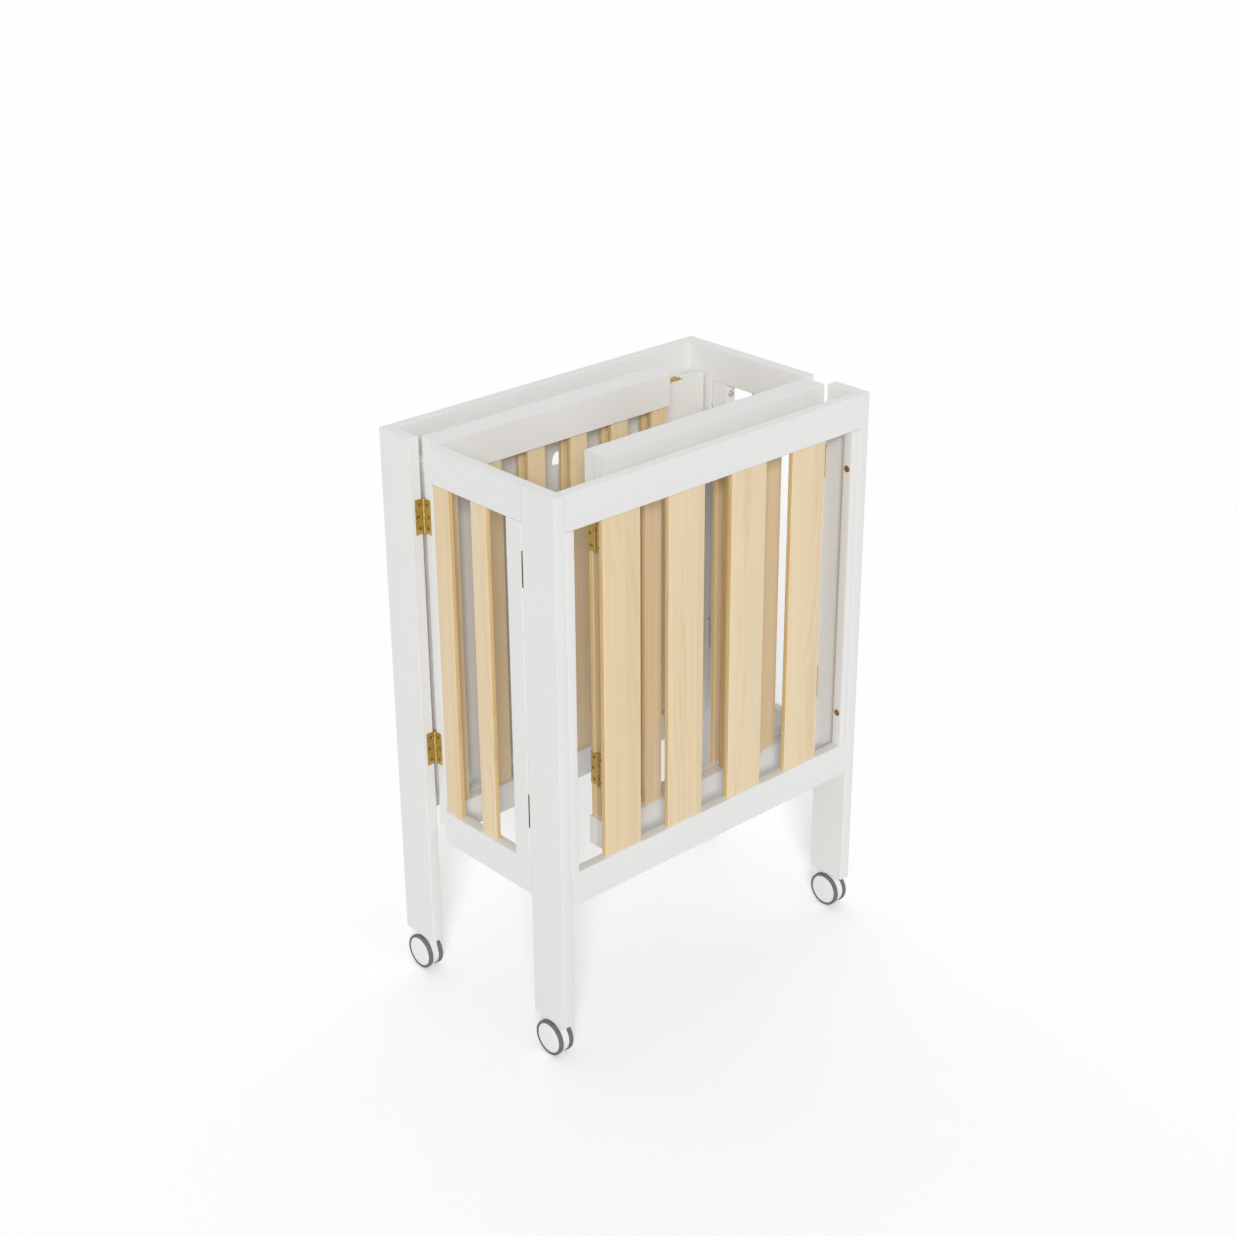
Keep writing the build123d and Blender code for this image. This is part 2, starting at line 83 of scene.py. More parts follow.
CROSS_ARM = 0.24  # half the width of a cross recess's arm, as a share of its size
BOARD_ATTRIBUTE = "board"  # a number from 0 to 1 that tells one board's grain from the next
# the pine finish paints warmer, darker shade on the narrow sides that this marks
EDGE_ATTRIBUTE = "edge"  # 1 on a board's narrow sides, 0 on its wide ones
BOARD_STEP = 0.6180339  # neighbouring boards' numbers differ by this much
TONE_SEED = 7

Colour = tuple[float, float, float, float]
Point = tuple[float, float]  # of an outline, in its plane
Weights = tuple[float, float]
Box = tuple[Vector, Vector]  # the lowest and the highest corner
Spot = tuple[int, int, int]  # a corner's place, counted in WELD steps
EdgeMark = tuple[Spot, Spot]  # an edge, from its first corner to its second
Settings = dict[str, object]  # properties of a node or a modifier, by name
Values = dict[str | int, object]  # what goes into sockets, by their names or numbers
Corners = list[bmesh.types.BMVert]

BLACK: Colour = (0.0, 0.0, 0.0, 1.0)
WHITE: Colour = (1.0, 1.0, 1.0, 1.0)

log = logging.getLogger("playpen")


# --- Shader arithmetic ---

class Wire:
    """A shader socket that joins in arithmetic, so that a finish reads as plain sums."""

    def __init__(self, tree: NodeTree, socket: NodeSocket) -> None:
        """Wraps one output socket of a node tree."""
        self.tree = tree
        self.socket = socket

    def reckon(self, operation: str, *values: "Wire | float") -> "Wire":
        """Adds one Math node, its inputs in order, and gives its result."""
        node = add_node(self.tree, "ShaderNodeMath", {"operation": operation}, dict(enumerate(values)))
        return Wire(self.tree, node.outputs[0])

    def __add__(self, other: "Wire | float") -> "Wire":
        """This plus another."""
        return self.reckon("ADD", self, other)

    __radd__ = __add__

    def __sub__(self, other: "Wire | float") -> "Wire":
        """This less another."""
        return self.reckon("SUBTRACT", self, other)

    def __rsub__(self, other: float) -> "Wire":
        """A number less this."""
        return self.reckon("SUBTRACT", other, self)

    def __mul__(self, other: "Wire | float") -> "Wire":
        """This times another."""
        return self.reckon("MULTIPLY", self, other)

    __rmul__ = __mul__

    def __pow__(self, other: "Wire | float") -> "Wire":
        """This raised to a power."""
        return self.reckon("POWER", self, other)

    def fraction(self) -> "Wire":
        """The part after the decimal point."""
        return self.reckon("FRACT", self)

    def clamped(self) -> "Wire":
        """This, kept between 0 and 1."""
        return self.reckon("MINIMUM", self.reckon("MAXIMUM", self, 0.0), 1.0)


def attach(tree: NodeTree, target: NodeSocket, value: object) -> None:
    """Links a wire to a socket, or sets the socket's own number, colour or object.

    Args:
        tree: The node tree.
        target: The input socket.
        value: A Wire, a node socket or a plain value.
    """
    if isinstance(value, Wire):
        tree.links.new(value.socket, target)
    elif isinstance(value, NodeSocket):
        tree.links.new(value, target)
    else:
        target.default_value = value


def add_node(
    tree: NodeTree, kind: str, settings: Settings | None = None, values: Values | None = None
) -> Node:
    """Adds any node, its settings first and its sockets after.

    Args:
        tree: The tree that gets the node.
        kind: The node's type.
        settings: Properties of the node, by name.
        values: Socket values or links, by the socket's name or number.

    Returns:
        The new node.
    """
    node = tree.nodes.new(kind)
    for name, setting in (settings or {}).items():
        setattr(node, name, setting)
    for key, value in (values or {}).items():
        attach(tree, node.inputs[key], value)
    return node


class ShaderTree:
    """A surface's node tree while a finish wires it."""

    def __init__(self, owner: Material) -> None:
        """Empties a material's tree and takes its Object coordinates.

        Args:
            owner: The material.
        """
        owner.use_nodes = True
        self.tree = owner.node_tree
        self.tree.nodes.clear()
        self.place = self.read("ShaderNodeTexCoord", output="Object")

    def read(
        self, kind: str, settings: Settings | None = None, values: Values | None = None, output: str | int = 0
    ) -> Wire:
        """Adds any node and gives one of its outputs, by its name or number, as a Wire."""
        node = add_node(self.tree, kind, settings, values)
        return Wire(self.tree, node.outputs[output])

    def attribute(self, name: str) -> Wire:
        """A number that the mesh keeps for each corner or face."""
        return self.read("ShaderNodeAttribute", {"attribute_name": name}, None, "Fac")

    def noise(
        self, repeats: Sequence[float], detail: float, shift: Wire | None = None, roughness: float = 0.5
    ) -> Wire:
        """Smooth noise from 0 to 1 over the piece's own coordinates.

        Args:
            repeats: How many repeats a metre holds, along X, Y and Z.
            detail: How many finer layers it adds.
            shift: A number that moves the pattern, such as a board's own.
            roughness: How strongly the finer layers show.

        Returns:
            The noise.
        """
        scaling = {"Vector": self.place, "Scale": repeats}
        place = self.read("ShaderNodeMapping", {"vector_type": "POINT"}, scaling)
        if shift is not None:
            place = self.read("ShaderNodeVectorMath", {"operation": "ADD"}, {0: place, 1: shift})
        values = {"Vector": place, "Scale": 1.0, "Detail": detail, "Roughness": roughness}
        return self.read("ShaderNodeTexNoise", {"noise_dimensions": "3D"}, values, "Fac")

    def blend(self, factor: Wire, low: Sequence[float] | Wire, high: Sequence[float] | Wire) -> Wire:
        """A colour between two, by a factor from 0 to 1."""
        settings = {"data_type": "RGBA", "clamp_factor": True}
        return self.read("ShaderNodeMix", settings, {0: factor, 6: low, 7: high}, 2)  # 6, 7 and 2: colours

    def bump(self, height: Wire, distance: float, strength: float) -> Wire:
        """A surface normal that follows a height from 0 to 1, its relief so many metres deep."""
        values = {"Strength": strength, "Distance": distance, "Height": height}
        return self.read("ShaderNodeBump", None, values, "Normal")

    def surface(self, **values: object) -> None:
        """Joins one Principled surface to the tree's output.

        Args:
            values: Its sockets, by their names with _ for a space.
        """
        named = {key.replace("_", " "): value for key, value in values.items()}
        shader = add_node(self.tree, "ShaderNodeBsdfPrincipled", None, named)
        add_node(self.tree, "ShaderNodeOutputMaterial", None, {"Surface": shader.outputs[0]})


def linear(red: int, green: int, blue: int) -> Colour:
    """A display colour as the linear colour that shaders use.

    Args:
        red: Its red, from 0 to 255.
        green: Its green, from 0 to 255.
        blue: Its blue, from 0 to 255.

    Returns:
        The linear colour.
    """
    def channel(value: int) -> float:
        """One channel, by the sRGB curve."""
        share = value / 255
        return share / 12.92 if share <= 0.04045 else ((share + 0.055) / 1.055) ** 2.4

    return channel(red), channel(green), channel(blue), 1.0


# --- Finishes ---

class Slot(Enum):
    """The record's material slots."""

    WHITE_WOOD = "white_wood"
    PINE = "pine"
    BRASS = "brass"
    STEEL = "steel"
    WHITE_PLASTIC = "white_plastic"
    TYRE_RUBBER = "tyre_rubber"


@dataclass(frozen=True)
class Finish:
    """A surface finish. Each kind adds its colours and wires its own pattern."""

    name: str
    roughness: float = 0.4
    metallic: float = 0.0
    specular: float = 0.5
    relief_depth: float = 0.02 * MM
    relief_strength: float = 0.3

    def wire(self, tree: ShaderTree) -> None:
        """Wires the surface into an empty tree."""
        raise NotImplementedError

    def material(self) -> Material:
        """A new material with this finish.

        Returns:
            The material.
        """
        made = bpy.data.materials.new(self.name)
        self.wire(ShaderTree(made))
        return made

    def coat(self, tree: ShaderTree, colour: Wire, roughness: Wire, height: Wire) -> None:
        """Ends the surface.

        Args:
            tree: The surface's tree.
            colour: Its colour.
            roughness: Its roughness.
            height: The height that its relief follows, from 0 to 1.
        """
        tree.surface(
            Base_Color=colour,
            Metallic=self.metallic,
            Roughness=roughness,
            Specular_IOR_Level=self.specular,
            Normal=tree.bump(height, self.relief_depth, self.relief_strength),
        )


@dataclass(frozen=True)
class WhiteLacquer(Finish):
    """Satin white lacquer sprayed on wood, whose fibres show faintly in the relief."""

    name: str = "white_lacquer"
    specular: float = 0.35
    relief_depth: float = 0.05 * MM
    relief_strength: float = 0.25
    light: Colour = linear(233, 233, 232)
    shade: Colour = linear(230, 230, 228)
    spray_roughness: float = 0.08
    patch_roughness: float = 0.06
    fibre_relief: float = 0.6
    spray_relief: float = 0.4
    board_shift: float = 9.0

    def wire(self, tree: ShaderTree) -> None:
        """Wires the lacquer's soft patches, its relief and its sheen.

        Args:
            tree: The surface's tree.
        """
        shift = tree.attribute(BOARD_ATTRIBUTE) * self.board_shift
        patches = tree.noise((3, 3, 3), detail=3.0, shift=shift)
        fibres = tree.noise((420, 420, 26), detail=2.0, shift=shift)
        spray = tree.noise((900, 900, 900), detail=1.0)
        relief = fibres * self.fibre_relief + spray * self.spray_relief
        colour = tree.blend(patches, self.light, self.shade)
        roughness = spray * self.spray_roughness + patches * self.patch_roughness + self.roughness
        self.coat(tree, colour, roughness, relief)


@dataclass(frozen=True)
class PineVarnish(Finish):
    """Clear satin varnish on pine: wavering growth rings and fine fibres, with painted shade, warmer and
    darker, on the boards' narrow sides.

    A field that ends in _from says where a noise starts to show, and one in _gain how fast it then grows.
    """

    name: str = "pine_varnish"
    roughness: float = 0.42
    specular: float = 0.35
    relief_depth: float = 0.06 * MM
    early_wood: Colour = linear(232, 213, 179)
    tan: Colour = linear(225, 201, 160)
    late_wood: Colour = linear(212, 178, 130)
    # the narrow sides' colours: painted shade, warmer and darker, as falls between the slats
    painted_edge_shade: Colour = linear(226, 197, 143)
    painted_edge_shade_late: Colour = linear(208, 170, 114)
    rings_per_metre: float = 62.0
    waver: float = 5.0
    board_shift: float = 37.0
    darkening: Weights = (2.5, 0.8)  # power and weight of a ring's slow darkening
    fading: Weights = (10.0, 0.5)  # power and weight of the quick fade after its end
    patch_from: float = 0.42
    patch_gain: float = 5.0
    streak_from: float = 0.35
    streak_gain: float = 2.2
    board_gain: float = 0.9
    tan_share: float = 0.75
    fibre_from: float = 0.4
    face_grain: Weights = (0.4, 0.6)  # weights of the rings and the fibres on a wide side
    side_grain: Weights = (0.55, 1.1)  # the same on a narrow side
    fibre_roughness: float = 0.14
    late_gloss: float = 0.06
    fibre_relief: float = 0.7
    late_relief: float = 0.3

    def wire(self, tree: ShaderTree) -> None:
        """Wires the rings, the fibres, each board's own tone and the painted shade on its narrow sides.

        Args:
            tree: The surface's tree.
        """
        board = tree.attribute(BOARD_ATTRIBUTE)
        edge = tree.attribute(EDGE_ATTRIBUTE)
        shift = board * self.board_shift
        slow = tree.noise((6, 6, 0.8), detail=2.0, shift=shift)
        drift = tree.noise((26, 26, 2.6), detail=3.0, shift=shift)
        patches = tree.noise((22, 22, 1.6), detail=2.0, shift=shift)
        fibres = tree.noise((900, 900, 7), detail=4.0, shift=shift, roughness=0.65)
        streaks = tree.noise((120, 120, 1.4), detail=3.0, shift=shift)

        axes = add_node(tree.tree, "ShaderNodeSeparateXYZ", None, {"Vector": tree.place}).outputs
        across = Wire(tree.tree, axes["X"]) + Wire(tree.tree, axes["Y"])
        wavering = slow * self.waver * 2.0
        rings = (across * self.rings_per_metre + wavering + drift * self.waver + shift).fraction()
        (late_power, late_weight), (fade_power, fade_weight) = self.darkening, self.fading
        late = (rings ** late_power) * late_weight + (1.0 - rings) ** fade_power * fade_weight
        shown = ((patches - self.patch_from) * self.patch_gain).clamped()
        tone = ((streaks - self.streak_from) * self.streak_gain + (board - 0.5) * self.board_gain).clamped()
        threads = fibres - self.fibre_from
        grain = (late * shown * self.face_grain[0] + threads * self.face_grain[1]).clamped()
        side_grain = (late * self.side_grain[0] + threads * self.side_grain[1]).clamped()

        plain = tree.blend(tone * self.tan_share, self.early_wood, self.tan)
        face = tree.blend(grain, plain, self.late_wood)
        # the narrow sides show their edge grain in the painted shade colours
        side = tree.blend(side_grain, self.painted_edge_shade, self.painted_edge_shade_late)
        roughness = fibres * self.fibre_roughness + self.roughness - late * self.late_gloss
        relief = fibres * self.fibre_relief + late * self.late_relief
        self.coat(tree, tree.blend(edge, face, side), roughness, relief)


@dataclass(frozen=True)
class BrassPlate(Finish):
    """Brushed brass plate, darker where hands never rub it."""

    name: str = "brass_plate"
    roughness: float = 0.32
    metallic: float = 1.0
    relief_strength: float = 0.35
    bright: Colour = linear(222, 197, 130)
    tarnish: Colour = linear(150, 122, 62)
    stain_from: float = 0.38
    stain_gain: float = 2.4
    darkening: Weights = (0.45, 0.3)  # weights of the stain and the brushing
    dulling: Weights = (0.16, 0.14)  # the same for the roughness

    def wire(self, tree: ShaderTree) -> None:
        """Wires the brushing and the tarnish.

        Args:
            tree: The surface's tree.
        """
        brushing = tree.noise((1500, 1500, 70), detail=2.0)
        cloud = tree.noise((160, 160, 160), detail=4.0, roughness=0.65)
        stain = ((cloud - self.stain_from) * self.stain_gain).clamped()
        dark = stain * self.darkening[0] + brushing * self.darkening[1]
        roughness = stain * self.dulling[0] + brushing * self.dulling[1] + self.roughness
        self.coat(tree, tree.blend(dark, self.bright, self.tarnish), roughness, brushing)


@dataclass(frozen=True)
class MottledFinish(Finish):
    """A plain finish with wide soft patches of a second colour and a fine grain in its relief."""

    light: Colour = linear(255, 255, 255)
    shade: Colour = linear(255, 255, 255)
    patch_repeats: tuple[float, float, float] = (60, 60, 60)
    patch_detail: float = 3.0
    patch_from: float | None = None  # where the patches start to show; with none, they blend evenly
    patch_gain: float = 1.0
    patch_roughness: float = 0.1
    grain_repeats: tuple[float, float, float] = (1400, 1400, 1400)
    grain_roughness: float = 0.14

    def wire(self, tree: ShaderTree) -> None:
        """Wires the patches and the grain.

        Args:
            tree: The surface's tree.
        """
        grain = tree.noise(self.grain_repeats, detail=2.0)
        patches = tree.noise(self.patch_repeats, detail=self.patch_detail)
        share = patches
        if self.patch_from is not None:
            share = ((patches - self.patch_from) * self.patch_gain).clamped()
        roughness = grain * self.grain_roughness + patches * self.patch_roughness + self.roughness
        self.coat(tree, tree.blend(share, self.light, self.shade), roughness, grain)


# brass painted darker as shade: the screw heads in their countersinks and the shut hinges' plates in their
# slits
BRASS_PAINTED_SHADE = BrassPlate("brass_painted_shade", bright=linear(128, 104, 58), tarnish=linear(76, 60, 30), roughness=0.42)
BRONZE = BrassPlate("bronze", bright=linear(186, 146, 92), tarnish=linear(134, 96, 54), roughness=0.4)
ZINC_STEEL = MottledFinish(
    "zinc_steel",
    roughness=0.28,
    metallic=1.0,
    relief_depth=0.01 * MM,
    light=linear(206, 207, 209),
    shade=linear(168, 170, 172),
    patch_repeats=(240, 240, 240),
    grain_repeats=(1200, 1200, 300),
    grain_roughness=0.18,
)
MOULDED_WHITE = MottledFinish(
    "moulded_white",
    roughness=0.3,
    specular=0.45,
    light=linear(241, 241, 240),
    shade=linear(236, 236, 235),
    patch_roughness=0.05,
    grain_roughness=0.12,
)
GREY_RUBBER = MottledFinish(
    "grey_rubber",
    roughness=0.62,
    specular=0.3,
    relief_depth=0.04 * MM,
    relief_strength=0.4,
    light=linear(102, 102, 103),
    shade=linear(126, 126, 126),
    patch_repeats=(220, 220, 220),
    patch_detail=4.0,
    patch_from=0.35,
    patch_gain=2.0,
    grain_repeats=(2200, 2200, 2200),
)
FINISHES: dict[Slot, Finish] = {
    Slot.WHITE_WOOD: WhiteLacquer(),
    Slot.PINE: PineVarnish(),
    Slot.BRASS: BrassPlate(),
    Slot.STEEL: ZINC_STEEL,
    Slot.WHITE_PLASTIC: MOULDED_WHITE,
    Slot.TYRE_RUBBER: GREY_RUBBER,
}


# --- Meshes ---

def mesh_from(bm: bmesh.types.BMesh, name: str) -> Mesh:
    """Turns a bmesh into a mesh with its normals outwards, and frees it.

    Args:
        bm: The bmesh.
        name: The mesh's name.

    Returns:
        The mesh.
    """
    bmesh.ops.recalc_face_normals(bm, faces=bm.faces)
    mesh = bpy.data.meshes.new(name)
    bm.to_mesh(mesh)
    bm.free()
    return mesh


def joined(meshes: Iterable[Mesh], name: str) -> Mesh:
    """One mesh that holds several.

    Args:
        meshes: The meshes.
        name: The new mesh's name.

    Returns:
        The new mesh.
    """
    bm = bmesh.new()
    for mesh in meshes:
        bm.from_mesh(mesh)
    result = bpy.data.meshes.new(name)
    bm.to_mesh(result)
    bm.free()
    return result


def placed(mesh: Mesh, place: Matrix) -> Mesh:
    """A copy of a mesh, moved to a place, its normals outwards.

    Args:
        mesh: The mesh.
        place: Where it goes, and its mirroring if it has one.

    Returns:
        The copy.
    """
    copy = mesh.copy()
    copy.transform(place)
    if place.determinant() < 0:
        copy.flip_normals()
    return copy


def at(place: Sequence[float], turn: float = 0.0, axis: str = "Z") -> Matrix:
    """A place, turned by some degrees about an axis."""
    return Matrix.Translation(place) @ Matrix.Rotation(math.radians(turn), 4, axis)


def arc(centre: Point, radius: float, start: float, end: float, steps: int) -> list[Point]:
    """Points along an arc.

    Args:
        centre: The arc's centre in the plane.
        radius: Its radius.
        start: The first point's angle, in degrees.
        end: The last point's angle, in degrees.
        steps: How many chords it is drawn with.

    Returns:
        The points, both ends among them.
    """
    angles = [math.radians(start + (end - start) * i / steps) for i in range(steps + 1)]
    return [(centre[0] + radius * math.cos(a), centre[1] + radius * math.sin(a)) for a in angles]


def turned(
    outline: Sequence[Point], steps: int, name: str, smooth_angle: float, closed: bool = False
) -> Mesh:
    """An outline turned about the Z axis.

    Args:
        outline: Points as distance from the axis and height, from the axis back to it unless closed.
        steps: How many facets go round.
        name: The mesh's name.
        smooth_angle: The shading is smooth across edges that turn by less, in degrees.
        closed: Whether the last point is joined to the first, as a ring's is.

    Returns:
        The turned mesh.
    """
    bm = bmesh.new()
    line = [bm.verts.new((radius, 0, height)) for radius, height in outline]
    following = line[1:] + line[:1] if closed else line[1:]
    edges = [bm.edges.new(pair) for pair in zip(line, following)]
    bmesh.ops.spin(bm, geom=line + edges, axis=(0, 0, 1), cent=(0, 0, 0), steps=steps, angle=math.tau)
    bmesh.ops.remove_doubles(bm, verts=bm.verts, dist=SPUN_WELD)
    if closed:
        bmesh.ops.dissolve_degenerate(bm, edges=bm.edges, dist=SHORTEST_EDGE)
    return softened(mesh_from(bm, name), smooth_angle)


def slab(outline: Sequence[Point], start: float, depth: float, name: str) -> Mesh:
    """A flat outline made thick along +Y.

    Args:
        outline: Its points, as X and Z.
        start: Where the slab starts on Y.
        depth: How thick it is.
        name: The mesh's name.

    Returns:
        The slab.
    """
    bm = bmesh.new()
    face = bm.faces.new([bm.verts.new((x, start, z)) for x, z in outline])
    swept = bmesh.ops.extrude_face_region(bm, geom=[face])
    moved = [item for item in swept["geom"] if isinstance(item, bmesh.types.BMVert)]
    bmesh.ops.translate(bm, verts=moved, vec=(0, depth, 0))
    return mesh_from(bm, name)


class Recess(Enum):
    """What turns a screw or a bolt."""

    CROSS = "cross"
    HEXAGON = "hexagon"

    def outline(self, size: float) -> list[Point]:
        """The recess's outline, its points going round.

        Args:
            size: The distance from the middle to its furthest point.

        Returns:
            The points.
        """
        if self is Recess.HEXAGON:
            return arc((0.0, 0.0), size, 0, 300, 5)
        arm = size * CROSS_ARM
        points = []
        for quarter in range(4):
            turn = Matrix.Rotation(math.radians(90 * quarter), 2)
            points += [tuple(turn @ Vector(p)) for p in ((arm, arm), (arm, size), (-arm, size))]
        return points


@dataclass(frozen=True)
class FastenerHead:
    """A round head with a recess, standing on z = 0 with its axis on Z."""

    name: str
    radius: float
    height: float
    edge: float
    recess: Recess
    recess_size: float
    recess_depth: float
    recess_taper: float = 0.8
    facets: int = 36
    smooth_angle: float = 32.0

    def mesh(self) -> Mesh:
        """The head: a skirt, a rounded rim, a flat top and the recess sunk in it.

        Returns:
            The mesh.
        """
        bm = bmesh.new()
        skirt = self.height - self.edge
        levels = [(self.radius, 0.0), (self.radius, skirt)]
        levels += arc((self.radius - self.edge, skirt), self.edge, start=30, end=90, steps=2)
        loops = [self._ring(bm, radius, height) for radius, height in levels]
        bm.faces.new(reversed(loops[0]))
        for lower, upper in zip(loops, loops[1:]):
            self._wall(bm, lower, upper)
        taper, bottom = self.recess_taper, self.height - self.recess_depth
        inner = [bm.verts.new((x, y, self.height)) for x, y in self.recess.outline(self.recess_size)]
        floor = [bm.verts.new((vert.co.x * taper, vert.co.y * taper, bottom)) for vert in inner]
        self._wall(bm, inner, floor)
        bm.faces.new(floor)
        bm.edges.ensure_lookup_table()
        rims = [bm.edges.get(pair) for loop in (loops[-1], inner) for pair in zip(loop, loop[1:] + loop[:1])]
        bmesh.ops.triangle_fill(bm, use_beauty=True, edges=rims)
        return softened(mesh_from(bm, self.name), self.smooth_angle)

    def _ring(self, bm: bmesh.types.BMesh, radius: float, height: float) -> Corners:
        """The corners of one level of the head."""
        angles = [math.tau * i / self.facets for i in range(self.facets)]
        return [bm.verts.new((radius * math.cos(a), radius * math.sin(a), height)) for a in angles]

    @staticmethod
    def _wall(bm: bmesh.types.BMesh, lower: Corners, upper: Corners) -> None:
        """Adds the faces between two loops of as many corners."""
        for i, j in zip(range(len(lower)), [*range(1, len(lower)), 0]):
            bm.faces.new((lower[i], lower[j], upper[j], upper[i]))


def islands(mesh: Mesh) -> list[list[int]]:
    """Tells the separate solids of a merged mesh apart.

    Args:
        mesh: The mesh.

    Returns:
        The vertex numbers of each solid, in a steady order.
    """
    parent = list(range(len(mesh.vertices)))

    def root(i: int) -> int:
        """Finds the first vertex of a vertex's solid.

        Args:
            i: The vertex.

        Returns:
            The first vertex.
        """
        while parent[i] != i:
            parent[i] = parent[parent[i]]
            i = parent[i]
        return i

    for edge in mesh.edges:
        a, b = (root(v) for v in edge.vertices)
        parent[max(a, b)] = min(a, b)
    found: dict[int, list[int]] = {}
    for i in range(len(parent)):
        found.setdefault(root(i), []).append(i)
    return [found[key] for key in sorted(found)]


def solid_boxes(mesh: Mesh) -> list[Box]:
    """Measures the solids of a merged mesh.

    Args:
        mesh: The mesh.

    Returns:
        The lowest and highest corner of each solid.
    """
    boxes = []
    for members in islands(mesh):
        points = [mesh.vertices[i].co for i in members]
        boxes.append(tuple(Vector(pick(p[axis] for p in points) for axis in range(3)) for pick in (min, max)))
    return boxes


def merged_copy(node: Mesh, name: str) -> Mesh:
    """A frame node's mesh with each solid's doubled corners merged and its flat faces whole.

    Solids that touch stay apart. A node holds one whole solid after another, so a solid ends where
    every edge has met its neighbour.

    Args:
        node: The node's mesh.
        name: The copy's name.

    Returns:
        The copy.
    """
    bm = bmesh.new()
    corners: dict[Spot, bmesh.types.BMVert] = {}
    unmet: set[EdgeMark] = set()
    for polygon in node.polygons:
        points = [node.vertices[i].co for i in polygon.vertices]
        spots = [tuple(round(value / WELD) for value in point) for point in points]
        for spot, point in zip(spots, points):
            if spot not in corners:
                corners[spot] = bm.verts.new(point)
        if len(set(spots)) == len(spots):
            bm.faces.new([corners[spot] for spot in spots])
            unmet ^= edge_marks(spots, unmet)
        if not unmet:
            corners = {}
    bmesh.ops.dissolve_limit(bm, angle_limit=math.radians(FLAT_ANGLE), verts=bm.verts, edges=bm.edges)
    return mesh_from(bm, name)


def edge_marks(spots: list[Spot], unmet: set[EdgeMark]) -> set[EdgeMark]:
    """What a face changes among the edges that still lack a neighbour.

    Args:
        spots: The face's corners in order.
        unmet: The directed edges that have met no neighbour yet.

    Returns:
        The edges to drop, which it meets, and the edges to add, which it opens.
    """
    pairs = zip(spots, spots[1:] + spots[:1])
    return {pair[::-1] if pair[::-1] in unmet else pair for pair in pairs}


def tell_boards_apart(mesh: Mesh, salt: float) -> None:
    """Gives each solid of a mesh its own board number.

    Args:
        mesh: The merged mesh.
        salt: A number that differs from one piece to the next.
    """
    attribute = mesh.attributes.new(BOARD_ATTRIBUTE, "FLOAT", "POINT")
    for i, members in enumerate(islands(mesh)):
        value = math.fmod(salt + i * BOARD_STEP, 1.0)
        for vertex in members:
            attribute.data[vertex].value = value


def mark_edges(mesh: Mesh) -> None:
    """Marks the narrow sides of upright boards, which face across the board's thickness.

    Args:
        mesh: The mesh, with one island per board.
    """
    thin_axis = {}
    for members, (low, high) in zip(islands(mesh), solid_boxes(mesh)):
        size = high - low
        axis = 0 if size.x < size.y else 1
        thin_axis.update((vertex, axis) for vertex in members)
    attribute = mesh.attributes.new(EDGE_ATTRIBUTE, "FLOAT", "FACE")
    for polygon in mesh.polygons:
        across = polygon.normal[1 - thin_axis[polygon.vertices[0]]]
        attribute.data[polygon.index].value = 1.0 if abs(across) > NARROW_SIDE else 0.0


# --- Modifiers ---

def in_scene(name: str, data: bpy.types.ID) -> Object:
    """A new object in the scene.

    Args:
        name: The object's name.
        data: Its mesh, lamp or camera.

    Returns:
        The object.
    """
    made = bpy.data.objects.new(name, data)
    bpy.context.scene.collection.objects.link(made)
    return made


def modified(mesh: Mesh, kind: str, settings: Settings, inputs: Values | None = None) -> Mesh:
    """A mesh with one modifier worked out.

    Args:
        mesh: The mesh that it starts from.
        kind: The modifier's type.
        settings: Its properties, by name.
        inputs: The inputs of its node tree, by their identifiers.

    Returns:
        The new mesh.
    """
    carrier = in_scene("carrier", mesh)
    modifier = carrier.modifiers.new(kind, kind)
    for name, setting in settings.items():
        setattr(modifier, name, setting)
    for identifier, value in (inputs or {}).items():
        modifier[identifier] = value
    bpy.context.view_layer.update()
    depsgraph = bpy.context.evaluated_depsgraph_get()
    result = bpy.data.meshes.new_from_object(carrier.evaluated_get(depsgraph), depsgraph=depsgraph)
    carrier.modifiers.clear()
    bpy.data.objects.remove(carrier)
    return result


def softened(mesh: Mesh, angle: float) -> Mesh:
    """Shades a mesh smooth except across its sharper edges.

    Args:
        mesh: The mesh, which is changed.
        angle: Edges that turn by more stay sharp, in degrees.

    Returns:
        The same mesh.
    """
    for polygon in mesh.polygons:
        polygon.use_smooth = True
    mesh.set_sharp_from_angle(angle=math.radians(angle))
    return mesh


def eased(mesh: Mesh, radius: float, segments: int, least_angle: float) -> Mesh:
    """A mesh with its sharp edges rounded and its flats still flat.

    Args:
        mesh: The mesh to round.
        radius: The rounding's width.
        segments: How many facets it has.
        least_angle: Edges that turn by less than this many degrees stay.

    Returns:
        The rounded mesh.
    """
    for polygon in mesh.polygons:
        polygon.use_smooth = True
    settings = {
        "limit_method": "ANGLE",
        "angle_limit": math.radians(least_angle),
        "width": radius,
        "segments": segments,
        "use_clamp_overlap": False,
        "harden_normals": True,
    }
    return modified(mesh, "BEVEL", settings)


def levelled(mesh: Mesh) -> Mesh:
    """A mesh whose wide faces shade flat, so that the narrow ones between them read as rounding."""
    return modified(mesh, "WEIGHTED_NORMAL", {"keep_sharp": True})


def cut(mesh: Mesh, cutter: Mesh) -> Mesh:
    """A mesh less the space that another one fills.

    Args:
        mesh: The mesh.
        cutter: The other one.

    Returns:
        What is left of the mesh.
    """
    tool = in_scene("cutter", cutter)
    result = modified(mesh, "BOOLEAN", {"operation": "DIFFERENCE", "solver": "EXACT", "object": tool})
    bpy.data.objects.remove(tool)
    return result


# --- Geometry Nodes ---

